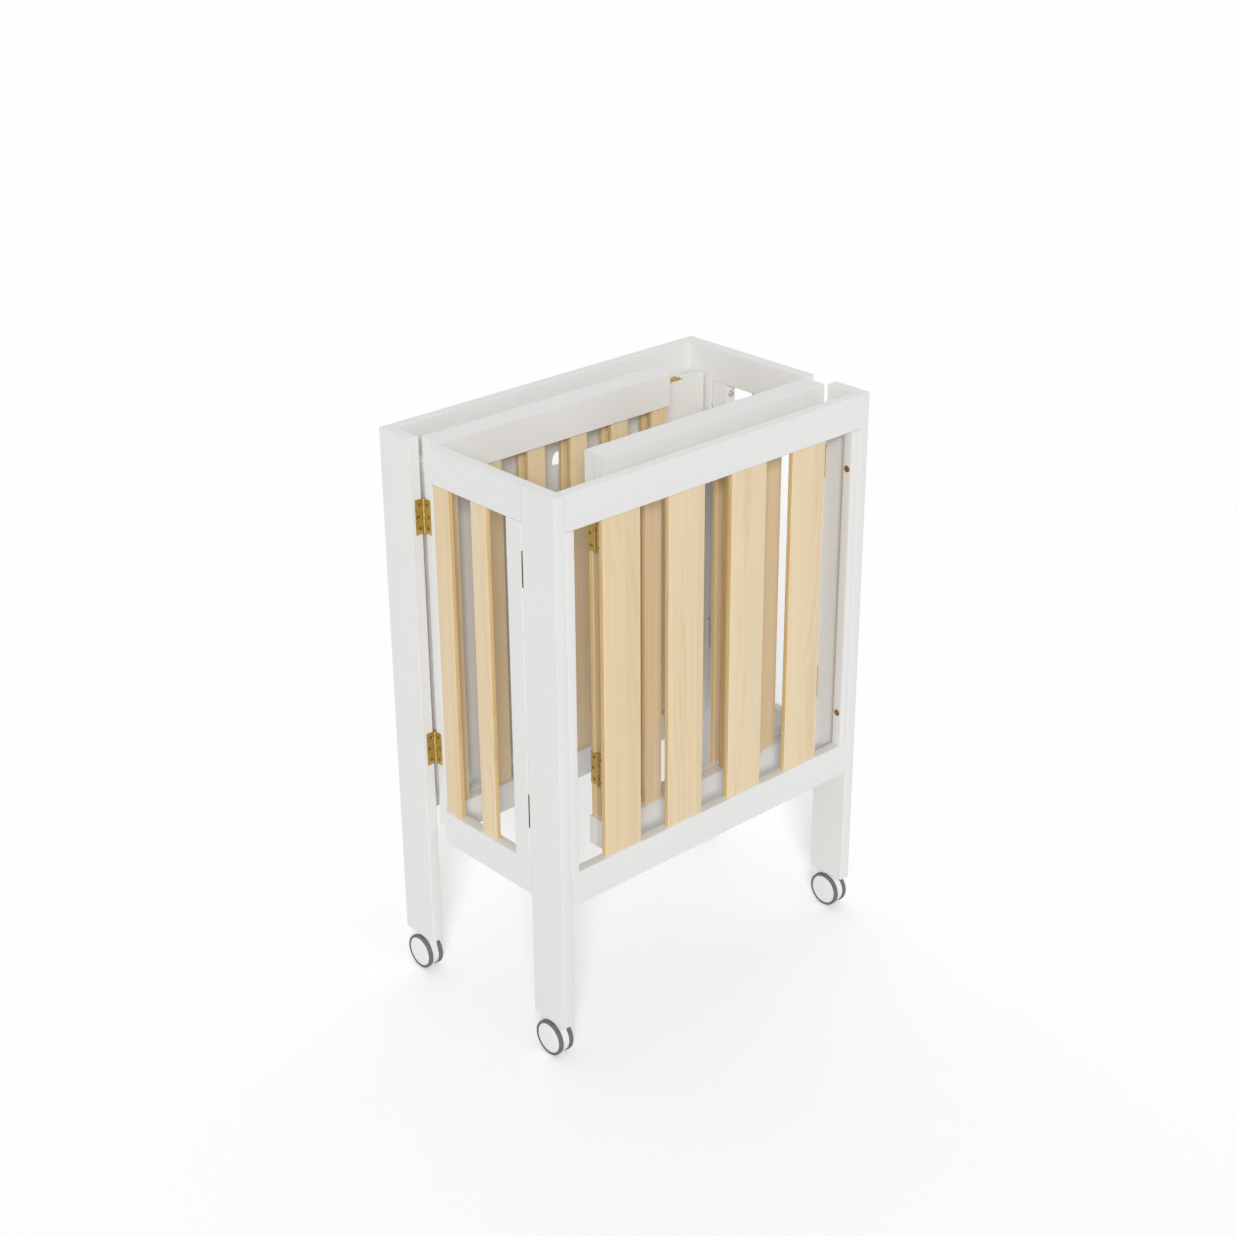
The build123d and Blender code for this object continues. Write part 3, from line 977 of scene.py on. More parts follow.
class NodeRow:
    """A Geometry Nodes tree with named inputs, which turns one mesh into another."""

    def __init__(self, name: str, inputs: dict[str, str]) -> None:
        """Makes an empty tree.

        Args:
            name: The tree's name.
            inputs: The socket type of each named input, besides the geometry and the material.
        """
        self.tree = bpy.data.node_groups.new(name, "GeometryNodeTree")
        interface = self.tree.interface
        interface.new_socket("Geometry", in_out="OUTPUT", socket_type="NodeSocketGeometry")
        for title, kind in {"Geometry": "Geometry", "Material": "Material", **inputs}.items():
            interface.new_socket(title, in_out="INPUT", socket_type=f"NodeSocket{kind}")
        self.inputs = self.tree.nodes.new("NodeGroupInput")

    def given(self, name: str) -> NodeSocket:
        """The value of a named input, inside the tree."""
        return self.inputs.outputs[name]

    def add(
        self, kind: str, settings: Settings | None = None, values: Values | None = None, output: int = 0
    ) -> NodeSocket:
        """Adds any node and gives one of its outputs."""
        return add_node(self.tree, kind, settings, values).outputs[output]

    def vector(self, operation: str, values: Values) -> NodeSocket:
        """Adds a Vector Math node."""
        return self.add("ShaderNodeVectorMath", {"operation": operation}, values)

    def number(self, operation: str, *values: object) -> NodeSocket:
        """Adds a Math node."""
        return self.add("ShaderNodeMath", {"operation": operation}, dict(enumerate(values)))

    def points(self, place: NodeSocket) -> NodeSocket:
        """As many points as the Count input says, each at the place that a field gives it."""
        return self.add("GeometryNodePoints", None, {"Count": self.given("Count"), "Position": place})

    def end(self, instances: NodeSocket) -> None:
        """Ends the tree in real faces with their material.

        Args:
            instances: What the tree has made.
        """
        real = self.add("GeometryNodeRealizeInstances", None, {"Geometry": instances})
        dressing = {"Geometry": real, "Material": self.given("Material")}
        dressed = self.add("GeometryNodeSetMaterial", None, dressing)
        add_node(self.tree, "NodeGroupOutput", None, {"Geometry": dressed})

    def run(self, mesh: Mesh, values: dict[str, object]) -> Mesh:
        """Runs the tree on a mesh.

        Args:
            mesh: The mesh that it starts from.
            values: The named inputs' values.

        Returns:
            The result as a plain mesh.
        """
        items = [item for item in self.tree.interface.items_tree if item.in_out == "INPUT"]
        inputs = {item.identifier: values[item.name] for item in items if item.name in values}
        return modified(mesh, "NODES", {"node_group": self.tree}, inputs)


def repeat_row() -> NodeRow:
    """Makes a tree that repeats its own mesh along a line, every other copy swayed to one side.

    Returns:
        The tree.
    """
    row = NodeRow("repeat_row", {"Count": "Int", "Start": "Vector", "Step": "Vector", "Sway": "Vector"})
    index = row.add("GeometryNodeInputIndex")
    odd = row.number("MODULO", index, 2.0)
    along = row.vector("SCALE", {0: row.given("Step"), "Scale": index})
    aside = row.vector("SCALE", {0: row.given("Sway"), "Scale": odd})
    moved = row.vector("ADD", {0: along, 1: aside})
    points = row.points(row.vector("ADD", {0: moved, 1: row.given("Start")}))
    copies = {"Points": points, "Instance": row.given("Geometry")}
    row.end(row.add("GeometryNodeInstanceOnPoints", None, copies))
    return row


def slat_row() -> NodeRow:
    """Makes a tree of evenly spaced upright slats with rounded edges, each with its own board number.

    Returns:
        The tree.
    """
    lengths = {name: "Float" for name in ("Width", "Thickness", "Height", "Pitch", "Edge Radius")}
    row = NodeRow("slat_row", {**lengths, "Count": "Int", "Start": "Vector", "Seed": "Int"})
    sides = {"Width": row.given("Width"), "Height": row.given("Thickness")}
    section = row.add("GeometryNodeCurvePrimitiveQuadrilateral", None, sides)
    rounding = {"Curve": section, "Count": 4, "Radius": row.given("Edge Radius")}
    rounded = row.add("GeometryNodeFilletCurve", {"mode": "POLY"}, rounding)
    top = row.add("ShaderNodeCombineXYZ", None, {"Z": row.given("Height")})
    upright = row.add("GeometryNodeCurvePrimitiveLine", None, {"Start": (0, 0, 0), "End": top})
    sweep = {"Curve": upright, "Profile Curve": rounded, "Fill Caps": True}
    slat = row.add("GeometryNodeCurveToMesh", None, sweep)
    index = row.add("GeometryNodeInputIndex")
    step = row.number("MULTIPLY", index, row.given("Pitch"))
    offset = row.add("ShaderNodeCombineXYZ", None, {"X": step})
    points = row.points(row.vector("ADD", {0: offset, 1: row.given("Start")}))
    stood = row.add("GeometryNodeInstanceOnPoints", None, {"Points": points, "Instance": slat})
    draw = {"ID": index, "Seed": row.given("Seed")}
    tone = row.add("FunctionNodeRandomValue", {"data_type": "FLOAT"}, draw, 1)  # its output 1 is a float
    stored = {"Geometry": stood, "Name": BOARD_ATTRIBUTE, "Value": tone}
    settings = {"data_type": "FLOAT", "domain": "INSTANCE"}
    row.end(row.add("GeometryNodeStoreNamedAttribute", settings, stored))
    return row


# --- Fitting pieces to the frame ---

class Fitter:
    """Puts finished pieces on the frame's bodies in place of the nodes that they stand for."""

    def __init__(self, frame: dict[str, object]) -> None:
        """Keeps what the frame says of nodes, joints and slots.
        """
        self.nodes: dict[str, Object] = frame["nodes"]
        self.joints: dict[str, dict] = {joint["name"]: joint for joint in frame["joints"]}
        self.slots = {part["node"]: Slot(part["material_slot"]) for part in frame["record"]["subparts"]}
        self.materials: dict[Finish, Material] = {}
        self.pieces: list[Object] = []

    def merged(self, node: str) -> Mesh:
        """A node's mesh with its corners merged."""
        return merged_copy(self.nodes[node].data, node)

    def solids(self, node: str) -> list[Box]:
        """The box of each solid of a node."""
        return solid_boxes(self.merged(node))

    def surface(self, finish: Finish) -> Material:
        """The material of a finish, made when it is first asked for.

        Args:
            finish: The finish.

        Returns:
            Its material.
        """
        if finish not in self.materials:
            self.materials[finish] = finish.material()
        return self.materials[finish]

    def fit(
        self,
        mesh: Mesh,
        node: str,
        ending: str = "finished",
        added: Slot | None = None,
        finish: Finish | None = None,
    ) -> None:
        """Puts a finished mesh on a node's body.

        Args:
            mesh: The finished mesh, in the frame's place.
            node: The node that it replaces, or is added to.
            ending: What follows the node's name in the piece's.
            added: The slot of an added piece. With none, the piece replaces the node and takes its slot.
            finish: Its finish, where it isn't the slot's own.
        """
        body = self.nodes[node]["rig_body"]
        slot = added or self.slots[node]
        name = f"{node}_{ending}"
        mesh.name = name
        mesh.materials.clear()
        mesh.materials.append(self.surface(finish or FINISHES[slot]))
        piece = in_scene(name, mesh)
        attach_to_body(piece, body)
        if added is None:
            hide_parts(node)
        self.pieces.append(piece)


# --- Woodwork ---

@dataclass
class HandSlot:
    """The round-ended slot that a hand pulls a base board by."""

    half_length: float = 34 * MM
    radius: float = 17 * MM
    height: float = 811 * MM
    spare: float = 5 * MM
    steps: int = 20

    def cutter(self, low: Vector, high: Vector) -> Mesh:
        """The slot's solid, right through a board.

        Args:
            low: The board's lowest corner.
            high: Its highest corner.

        Returns:
            The solid.
        """
        middle = (low.x + high.x) / 2
        reach = self.half_length - self.radius
        outline = arc((middle + reach, self.height), self.radius, -90, 90, self.steps)
        outline += arc((middle - reach, self.height), self.radius, 90, 270, self.steps)
        return slab(outline, low.y - self.spare, high.y - low.y + 2 * self.spare, "hand_slot")


@dataclass
class Woodwork:
    """Every board, rail and leg, with the edges that sanding and lacquer leave."""

    fitter: Fitter
    smooth_angle: float = 50.0
    board_salt: float = 0.37
    slotted: tuple[str, ...] = ("base_front_board", "base_rear_board")

    def dress(self, skipped: Sequence[str]) -> None:
        """Rounds and finishes the wooden nodes.

        Args:
            skipped: Nodes that another class makes.
        """
        wood = (Slot.WHITE_WOOD, Slot.PINE)
        boards = [node for node, slot in self.fitter.slots.items() if slot in wood]
        for number, node in enumerate(boards):
            if node in skipped:
                continue
            mesh = self.fitter.merged(node)
            if node in self.slotted:
                mesh = cut(mesh, HandSlot().cutter(*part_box(node)))
            tell_boards_apart(mesh, salt=number * self.board_salt)
            finished = levelled(softened(mesh, self.smooth_angle))
            if self.fitter.slots[node] is Slot.PINE:
                mark_edges(finished)
            self.fitter.fit(finished, node)


@dataclass
class EndSlats:
    """The wide slats of one end, as a row."""

    fitter: Fitter
    row: NodeRow
    node: str
    seed: int
    edge_radius: float = 1.2 * MM
    smooth_angle: float = 40.0

    def build(self) -> None:
        """Makes the row from the sizes of the node that it replaces."""
        boxes = sorted(self.fitter.solids(self.node), key=lambda box: box[0].x)
        low, high = boxes[0]
        size = high - low
        values = {
            "Width": size.x,
            "Thickness": size.y,
            "Height": size.z,
            "Pitch": (boxes[-1][0].x - low.x) / (len(boxes) - 1),
            "Edge Radius": self.edge_radius,
            "Count": len(boxes),
            "Start": ((low.x + high.x) / 2, (low.y + high.y) / 2, low.z),
            "Seed": self.seed,
            "Material": self.fitter.surface(FINISHES[Slot.PINE]),
        }
        mesh = softened(self.row.run(bpy.data.meshes.new("slat_start"), values), self.smooth_angle)
        mark_edges(mesh)
        self.fitter.fit(mesh, self.node)


# --- Butt hinges ---

@dataclass
class ButtHinge:
    """A knuckled butt hinge in its own frame: its pin on Z from 0, a leaf's plate towards +X.

    The outer leaf has the end knuckles and lies on the +Y side of the pin, the inner one on the -Y side.
    """

    length: float
    reach: float
    barrel_radius: float
    knuckles: int = 5
    thickness: float = 1.5 * MM
    leaf_gap: float = 0.4 * MM
    knuckle_gap: float = 0.35 * MM
    knuckle_root: float = 0.62  # where a plate meets its knuckles, as a share of their radius
    notch_clearance: float = 0.35 * MM
    edge: float = 0.18 * MM
    facets: int = 28
    smooth_angle: float = 50.0
    pin_radius: float = 1.5 * MM
    pin_play: float = 0.05 * MM
    pin_dome: float = 0.5 * MM
    pin_facets: int = 20
    screws: int = 3
    screw_radius: float = 2.6 * MM
    screw_height: float = 0.55 * MM
    screw_edge: float = 0.12 * MM
    screw_seat: float = 0.45 * MM
    cross_share: float = 0.62
    cross_depth: float = 0.5 * MM
    screw_shift: float = 0.2 * MM
    stagger: float = 0.22  # as a share of the plate's clear width
    screw_margin: float = 0.16  # as a share of the length

    @property
    def pitch(self) -> float:
        """From one knuckle to the next."""
        return self.length / self.knuckles

    def plate(self, outer: bool) -> Mesh:
        """A leaf's plate, notched where the other leaf's knuckles are.

        Args:
            outer: Whether it is the outer leaf.

        Returns:
            The plate on the +Y side of the pin.
        """
        points = [(self.reach, 0.0)]
        for knuckle in range(self.knuckles):
            own = (knuckle % 2 == 0) == outer
            x = self.barrel_radius * self.knuckle_root if own else self.barrel_radius + self.notch_clearance
            inset = self.knuckle_gap / 2 if own else -self.knuckle_gap / 2
            start = knuckle * self.pitch + (inset if knuckle else 0.0)
            end = (knuckle + 1) * self.pitch - (inset if knuckle < self.knuckles - 1 else 0.0)
            points += [(x, start), (x, end)]
        points.append((self.reach, self.length))
        plate = slab(points, self.leaf_gap / 2, self.thickness, "hinge_plate")
        return eased(plate, self.edge, segments=2, least_angle=50.0)

    def barrel(self, outer: bool, rows: NodeRow) -> Mesh:
        """A leaf's knuckles, one rolled tube repeated up the pin.

        Args:
            outer: Whether it is the outer leaf.
            rows: The tree that repeats the tube.

        Returns:
            The knuckles.
        """
        height = self.pitch - self.knuckle_gap
        inside = self.pin_radius + self.pin_play
        rim = self.barrel_radius - self.edge
        section = [(inside, 0.0), (rim, 0.0)]
        section += arc((rim, self.edge), self.edge, -60, 0, 2)
        section += arc((rim, height - self.edge), self.edge, 0, 60, 2)
        section += [(rim, height), (inside, height)]
        tube = turned(section, self.facets, "knuckle", self.smooth_angle, closed=True)
        values = {
            "Count": (self.knuckles + 1) // 2 if outer else self.knuckles // 2,
            "Start": (0, 0, (0 if outer else self.pitch) + self.knuckle_gap / 2),
            "Step": (0, 0, 2 * self.pitch),
            "Sway": (0, 0, 0),
        }
        return rows.run(tube, values)

    def pin(self) -> Mesh:
        """The pin, with a low dome at each end that stays inside the barrel's length.

        Returns:
            The pin.
        """
        dome, radius = self.pin_dome, self.pin_radius
        shoulder, rise = radius * 0.6, dome * 0.3
        outline = [(0.0, 0.0), (shoulder, rise), (radius, dome)]
        outline += [(radius, self.length - dome), (shoulder, self.length - rise), (0.0, self.length)]
        return turned(outline, self.pin_facets, "hinge_pin", self.smooth_angle)

    def screw_row(self, rows: NodeRow) -> Mesh:
        """The countersunk screws of one leaf, staggered up it, flush with the leaf's open face.

        Args:
            rows: The tree that repeats the screw.

        Returns:
            The screws.
        """
        head = FastenerHead(
            "leaf_screw",
            radius=self.screw_radius,
            height=self.screw_height,
            edge=self.screw_edge,
            recess=Recess.CROSS,
            recess_size=self.screw_radius * self.cross_share,
            recess_depth=self.cross_depth,
            facets=20,
            smooth_angle=40.0,
        )
        middle = (self.barrel_radius + self.reach) / 2 + self.screw_shift
        sway = (self.reach - self.barrel_radius) * self.stagger
        margin = self.length * self.screw_margin
        values = {
            "Count": self.screws,
            "Start": (middle - sway / 2, self.leaf_gap / 2 + self.screw_seat, margin),
            "Step": (0, 0, (self.length - 2 * margin) / (self.screws - 1)),
            "Sway": (sway, 0, 0),
        }
        face_down = Matrix.Rotation(math.radians(90), 4, "X")
        return rows.run(placed(head.mesh(), face_down), values)

    def leaf(self, outer: bool, rows: NodeRow) -> list[Mesh]:
        """The brass of one leaf, on its side of the pin.

        Args:
            outer: Whether it is the outer leaf, which also holds the pin.
            rows: The tree that repeats its knuckles.

        Returns:
            The plate, the knuckles and, on the outer leaf, the pin.
        """
        parts = [self.plate(outer), self.barrel(outer, rows)]
        if outer:
            parts.append(self.pin())
        return [placed(part, self.side(outer)) for part in parts]

    def screwed(self, outer: bool, rows: NodeRow) -> Mesh:
        """The screws of one leaf, on its side of the pin."""
        return placed(self.screw_row(rows), self.side(outer))

    def side(self, outer: bool) -> Matrix:
        """What takes a part from the +Y side of the pin to its leaf's own."""
        return Matrix.Identity(4) if outer else Matrix.Scale(-1, 4, (0, 1, 0))


@dataclass(frozen=True)
class HingeLine:
    """Two hinges on one pin line: the node of each leaf pair, and the joint whose pin they share."""

    outer_node: str
    inner_node: str
    joint: str
    half_turned: bool = False


HINGE_LINES = (
    HingeLine("left_stub_leaves", "left_front_panel_stub_leaves", "left_side_fold"),
    HingeLine("left_rear_panel_fold_leaves", "left_front_panel_fold_leaves", "left_middle_fold"),
    HingeLine("left_rear_panel_leg_leaves", "rear_left_leg_leaves", "rear_end_fold"),
    HingeLine("right_stub_leaves", "right_rear_panel_stub_leaves", "right_side_fold"),
    HingeLine("right_front_panel_fold_leaves", "right_rear_panel_fold_leaves", "right_middle_fold"),
    HingeLine("right_front_panel_leg_leaves", "front_right_leg_leaves", "rear_end_fold", half_turned=True),
)


@dataclass
class HingeWork:
    """All the playpen's hinges, each leaf on its own body."""

    fitter: Fitter
    rows: NodeRow
    length: float = 56 * MM
    barrel_radius: float = 2.8 * MM
    base_length: float = 40 * MM
    base_barrel_radius: float = 1.6 * MM
    base_pin_radius: float = 0.8 * MM
    base_screw_radius: float = 1.7 * MM
    ledger_stand_off: float = 1.7 * MM

    def build(self) -> None:
        """Makes the folding hinges, the stubs' shut hinges and the base's hinges."""
        for line in HINGE_LINES:
            self._leaf_pair(line, line.outer_node, True)
            self._leaf_pair(line, line.inner_node, False)
        self._shut_pair("left_stub_shut_hinges", 180)
        self._shut_pair("right_stub_shut_hinges", 0)
        self._base_pair("base_seam_hinges", 180)
        self._base_pair("base_ledger_hinges", 90)

    def _fit(self, node: str, hinge: ButtHinge, leaves: Iterable[tuple[bool, Matrix]]) -> None:
        """Fits a node's brass and its screws as two pieces.

        Args:
            node: The node to replace.
            hinge: The hinge that its leaves belong to.
            leaves: For each leaf, whether it is the outer one, and its place.
        """
        brass, screws = [], []
        for outer, place in leaves:
            brass += [placed(part, place) for part in hinge.leaf(outer, self.rows)]
            screws.append(placed(hinge.screwed(outer, self.rows), place))
        self.fitter.fit(joined(brass, node), node)
        # the screws take the brass painted darker as shade in their countersinks
        self.fitter.fit(joined(screws, node), node, "screws", Slot.BRASS, BRASS_PAINTED_SHADE)

    def _leaf_pair(self, line: HingeLine, node: str, outer: bool) -> None:
        """Makes the two leaves of a node, top and bottom.

        Args:
            line: The hinge line.
            node: The node to replace.
            outer: Whether its leaves are the outer ones.
        """
        low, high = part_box(node)
        pin = Vector(self.fitter.joints[line.joint]["pos_m"])
        if line.half_turned:
            pin = Vector((-pin.x, -pin.y, pin.z))
        ways = {0: high.x - pin.x, 90: high.y - pin.y, 180: pin.x - low.x, -90: pin.y - low.y}
        turn = max(ways, key=ways.get)
        hinge = ButtHinge(self.length, ways[turn], self.barrel_radius)
        bottoms = (low.z, high.z - self.length)
        self._fit(node, hinge, [(outer, at((pin.x, pin.y, bottom), turn)) for bottom in bottoms])

    def _shut_pair(self, node: str, turn: float) -> None:
        """Makes the shut hinges between a stub and its leg, their barrels lacquered with the boards.

        Args:
            node: The node to replace.
            turn: The way that its plates point from the pin, in degrees.
        """
        low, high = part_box(node)
        pin_x = high.x - self.barrel_radius if turn == 180 else low.x + self.barrel_radius
        reach = pin_x - low.x if turn == 180 else high.x - pin_x
        hinge = ButtHinge(self.length, reach, self.barrel_radius)
        plates, barrels = [], []
        for bottom in (low.z, high.z - self.length):
            place = at((pin_x, (low.y + high.y) / 2, bottom), turn)
            for outer in (True, False):
                plate, *barrel = hinge.leaf(outer, self.rows)
                plates.append(placed(plate, place))
                barrels += [placed(part, place) for part in barrel]
        # the plates take the brass painted darker as shade in the shut slit
        self.fitter.fit(joined(plates, node), node, "plates", finish=BRASS_PAINTED_SHADE)
        self.fitter.fit(joined(barrels, node), node, "barrels", Slot.WHITE_WOOD)

    def _base_pair(self, node: str, opening: float) -> None:
        """Makes the hinges of one base line, opened to an angle.

        Args:
            node: The node to replace.
            opening: The angle between the two leaves, in degrees.
        """
        low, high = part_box(node)
        flat = opening == 180
        pin_y = (low.y + high.y) / 2 if flat else low.y + self.ledger_stand_off
        pin_z = high.z - self.base_barrel_radius if flat else low.z + self.ledger_stand_off
        hinge = ButtHinge(
            self.base_length,
            high.y - pin_y,
            self.base_barrel_radius,
            pin_radius=self.base_pin_radius,
            screw_radius=self.base_screw_radius,
            screws=2,
        )
        # Lays the pin along -X and its plates towards +Y, the outer leaf below the pin.
        along = Matrix(((0, 0, -1, 0), (1, 0, 0, 0), (0, -1, 0, 0), (0, 0, 0, 1)))
        opened = Matrix.Rotation(math.radians(-opening), 4, "Z")
        leaves = []
        for end in (low.x + self.base_length, high.x):
            place = Matrix.Translation((end, pin_y, pin_z)) @ along
            leaves += [(True, place), (False, place @ opened)]
        self._fit(node, hinge, leaves)


# --- Bolts ---

STUB_BOLT_HEAD = FastenerHead(
    "bolt_head",
    radius=5.5 * MM,
    height=2.5 * MM,
    edge=0.9 * MM,
    recess=Recess.HEXAGON,
    recess_size=2.2 * MM,
    recess_depth=1.6 * MM,
)
END_BOLT_CAP = FastenerHead(
    "bolt_cap",
    radius=5.4 * MM,
    height=0.9 * MM,
    edge=0.45 * MM,
    recess=Recess.HEXAGON,
    recess_size=2.4 * MM,
    recess_depth=0.7 * MM,
)
END_BOLT_SOCKET = FastenerHead(
    "bolt_socket",
    radius=3 * MM,
    height=3 * MM,
    edge=0.3 * MM,
    recess=Recess.HEXAGON,
    recess_size=1.7 * MM,
    recess_depth=2.4 * MM,
    facets=24,
)


@dataclass
class BoltWork:
    """The round-headed bolts of the stubs and the headless ones sunk in the ends."""

    fitter: Fitter
    shank_radius: float = 3 * MM
    shank_chamfer: float = 0.6 * MM
    shank_facets: int = 24
    sunk: float = 5 * MM

    def build(self) -> None:
        """Makes the bolts of both stubs and both ends."""
        self._stub_bolts("left_stub_bolts", 1)
        self._stub_bolts("right_stub_bolts", -1)
        for end in ("front", "rear"):
            self._end_bolts(f"{end}_bolts")

    def _shank(self, length: float) -> Mesh:
        """A bolt's shank along -Z from 0, its end chamfered.

        Args:
            length: How long it is.

        Returns:
            The shank.
        """
        radius, chamfer = self.shank_radius, self.shank_chamfer
        outline = [(0.0, -length), (radius - chamfer, -length), (radius, chamfer - length)]
        outline += [(radius, 0.0), (0.0, 0.0)]
        return turned(outline, self.shank_facets, "bolt_shank", smooth_angle=30.0)

    def _stub_bolts(self, node: str, way: int) -> None:
        """Makes a stub's bolts with their heads towards a side.

        Args:
            node: The node to replace.
            way: 1 for heads towards +Y, -1 for heads towards -Y.
        """
        head = STUB_BOLT_HEAD.mesh()
        parts = []
        for low, high in self.fitter.solids(node):
            middle = (low + high) / 2
            seat = high.y - STUB_BOLT_HEAD.height if way > 0 else low.y + STUB_BOLT_HEAD.height
            length = seat - low.y if way > 0 else high.y - seat
            place = at((middle.x, seat, middle.z), -90 * way, "X")
            parts += [placed(head, place), placed(self._shank(length), place)]
        self.fitter.fit(joined(parts, node), node)

    def _end_bolts(self, node: str) -> None:
        """Makes an end's four bolts, with hexagon sockets, and the flat bronze caps over their holes.

        Args:
            node: The node to replace.
        """
        socket, cap = END_BOLT_SOCKET.mesh(), END_BOLT_CAP.mesh()
        depth = END_BOLT_SOCKET.height
        parts, caps = [], []
        for low, high in self.fitter.solids(node):
            middle = (low + high) / 2
            inward = -1 if middle.x > 0 else 1
            mouth = low.x if inward < 0 else high.x
            place = at((mouth - inward * depth, middle.y, middle.z), 90 * inward, "Y")
            parts += [placed(socket, place), placed(self._shank(high.x - low.x - depth), place)]
            caps.append(placed(cap, at((mouth + inward * self.sunk, middle.y, middle.z), 90 * inward, "Y")))
        self.fitter.fit(joined(parts, node), node)
        self.fitter.fit(joined(caps, node), node, "caps", Slot.BRASS, BRONZE)


# --- Casters ---

@dataclass
class Caster:
    """One twin-wheel caster, measured from the nodes that it replaces."""

    fitter: Fitter
    corner: str
    facets: int = 64
    shoulder: float = 1.3 * MM
    crown: float = 0.25 * MM
    dome: float = 0.8 * MM
    dome_steps: tuple[float, ...] = (0.9, 0.75, 0.6, 0.45, 0.3, 0.15)  # shares of its radius
    rim: float = 1.5 * MM
    rim_fillet: float = 0.35 * MM
    groove_width: float = 0.9 * MM
    groove_depth: float = 0.4 * MM
    groove_slope: float = 0.15 * MM
    axle_radius: float = 2.5 * MM
    cheek_radius: float = 21 * MM
    hood_radius: float = 27 * MM
    hood_play: float = 0.5 * MM
    hood_edge: float = 0.8 * MM

    def build(self) -> None:
        """Makes the tyres, the wheels and the hood."""
        tyres, wheels, hood = (f"{self.corner}_caster_{part}" for part in ("tyres", "wheels", "hood"))
        low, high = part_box(tyres)
        centre = (low + high) / 2
        outer = (high.x - low.x) / 2
        width = min(box[1].x - box[0].x for box in self.fitter.solids(tyres))
        seat = max(box[1].z - box[0].z for box in self.fitter.solids(wheels)) / 2
        self._fit_pair(self._tyre((high.z - low.z) / 2, seat, width), centre, outer, tyres)
        axle = self._axle(2 * (outer - width))
        self._fit_pair(self._disc(seat, width), centre, outer, wheels, axle)
        self._fit_hood(hood, centre)

    def _tyre(self, radius: float, seat: float, width: float) -> Mesh:
        """A tyre with round shoulders and a slightly crowned tread, its outer side at z = 0.

        Args:
            radius: Its outer radius.
            seat: Its inner radius.
            width: Its width.

        Returns:
            The tyre.
        """
        tread = radius - self.crown - self.shoulder
        section = [(seat, 0.0), (tread, 0.0)]
        section += arc((tread, -self.shoulder), self.shoulder, 75, 0, 5)
        section += [(radius, -width / 2)]
        section += arc((tread, self.shoulder - width), self.shoulder, 0, -75, 5)
        section += [(tread, -width), (seat, -width)]
        return turned(section, self.facets, "tyre", smooth_angle=40.0, closed=True)

    def _disc(self, radius: float, width: float) -> Mesh:
        """A moulded disc: a narrow rim, a fine groove inside it and a low plain dome.

        Args:
            radius: Its radius.
            width: The wheel's width.

        Returns:
            The disc, its dome's top at z = 0.
        """
        rim = radius - self.rim
        inside = rim - self.groove_width
        bottom = -self.dome - self.groove_depth
        outline = [(0.0, -width), (radius, -width), (radius, -self.dome - self.rim_fillet)]
        outline += arc((radius - self.rim_fillet, -self.dome - self.rim_fillet), self.rim_fillet, 20, 90, 3)
        outline += [(rim, -self.dome), (rim - self.groove_slope, bottom)]
        outline += [(inside + self.groove_slope, bottom), (inside, -self.dome)]
        outline += [(inside * share, -self.dome * share**2) for share in self.dome_steps]
        return turned([*outline, (0.0, 0.0)], self.facets, "disc", smooth_angle=34.0)

    def _axle(self, length: float) -> Mesh:
        """The rod between the discs.

        Args:
            length: How long it is.

        Returns:
            The rod, along Z and centred.
        """
        half, radius = length / 2, self.axle_radius
        outline = [(0.0, -half), (radius, -half), (radius, half), (0.0, half)]
        return turned(outline, steps=20, name="axle", smooth_angle=40.0)

    def _fit_pair(
        self, part: Mesh, centre: Vector, outer: float, node: str, axle: Mesh | None = None
    ) -> None:
        """Fits a part to both wheels, its outer side outwards.

        Args:
            part: The part, its outer side at z = 0 and facing +Z.
            centre: The middle of the axle.
            outer: From there to a wheel's outer side.
            node: The node that it replaces.
            axle: The rod that joins them, along Z and centred.
        """
        pieces = [placed(part, at(centre + Vector((way * outer, 0, 0)), 90 * way, "Y")) for way in (-1, 1)]
        if axle:
            pieces.append(placed(axle, at(centre, 90, "Y")))
        self.fitter.fit(joined(pieces, node), node)

    def _fit_hood(self, node: str, axle: Vector) -> None:
        """Fits the moulded hood, its cheeks grown to nearly the tyres' size and its edges well rounded.

        Args:
            node: The node to replace.
            axle: The middle of the axle.
        """
        mesh = self.fitter.merged(node)
        for vertex in mesh.vertices:
            out = Vector((0, vertex.co.y - axle.y, vertex.co.z - axle.z))
            if abs(out.length - self.cheek_radius) < self.hood_play:
                vertex.co += out.normalized() * (self.hood_radius - self.cheek_radius)
        self.fitter.fit(eased(mesh, self.hood_edge, segments=3, least_angle=40.0), node)


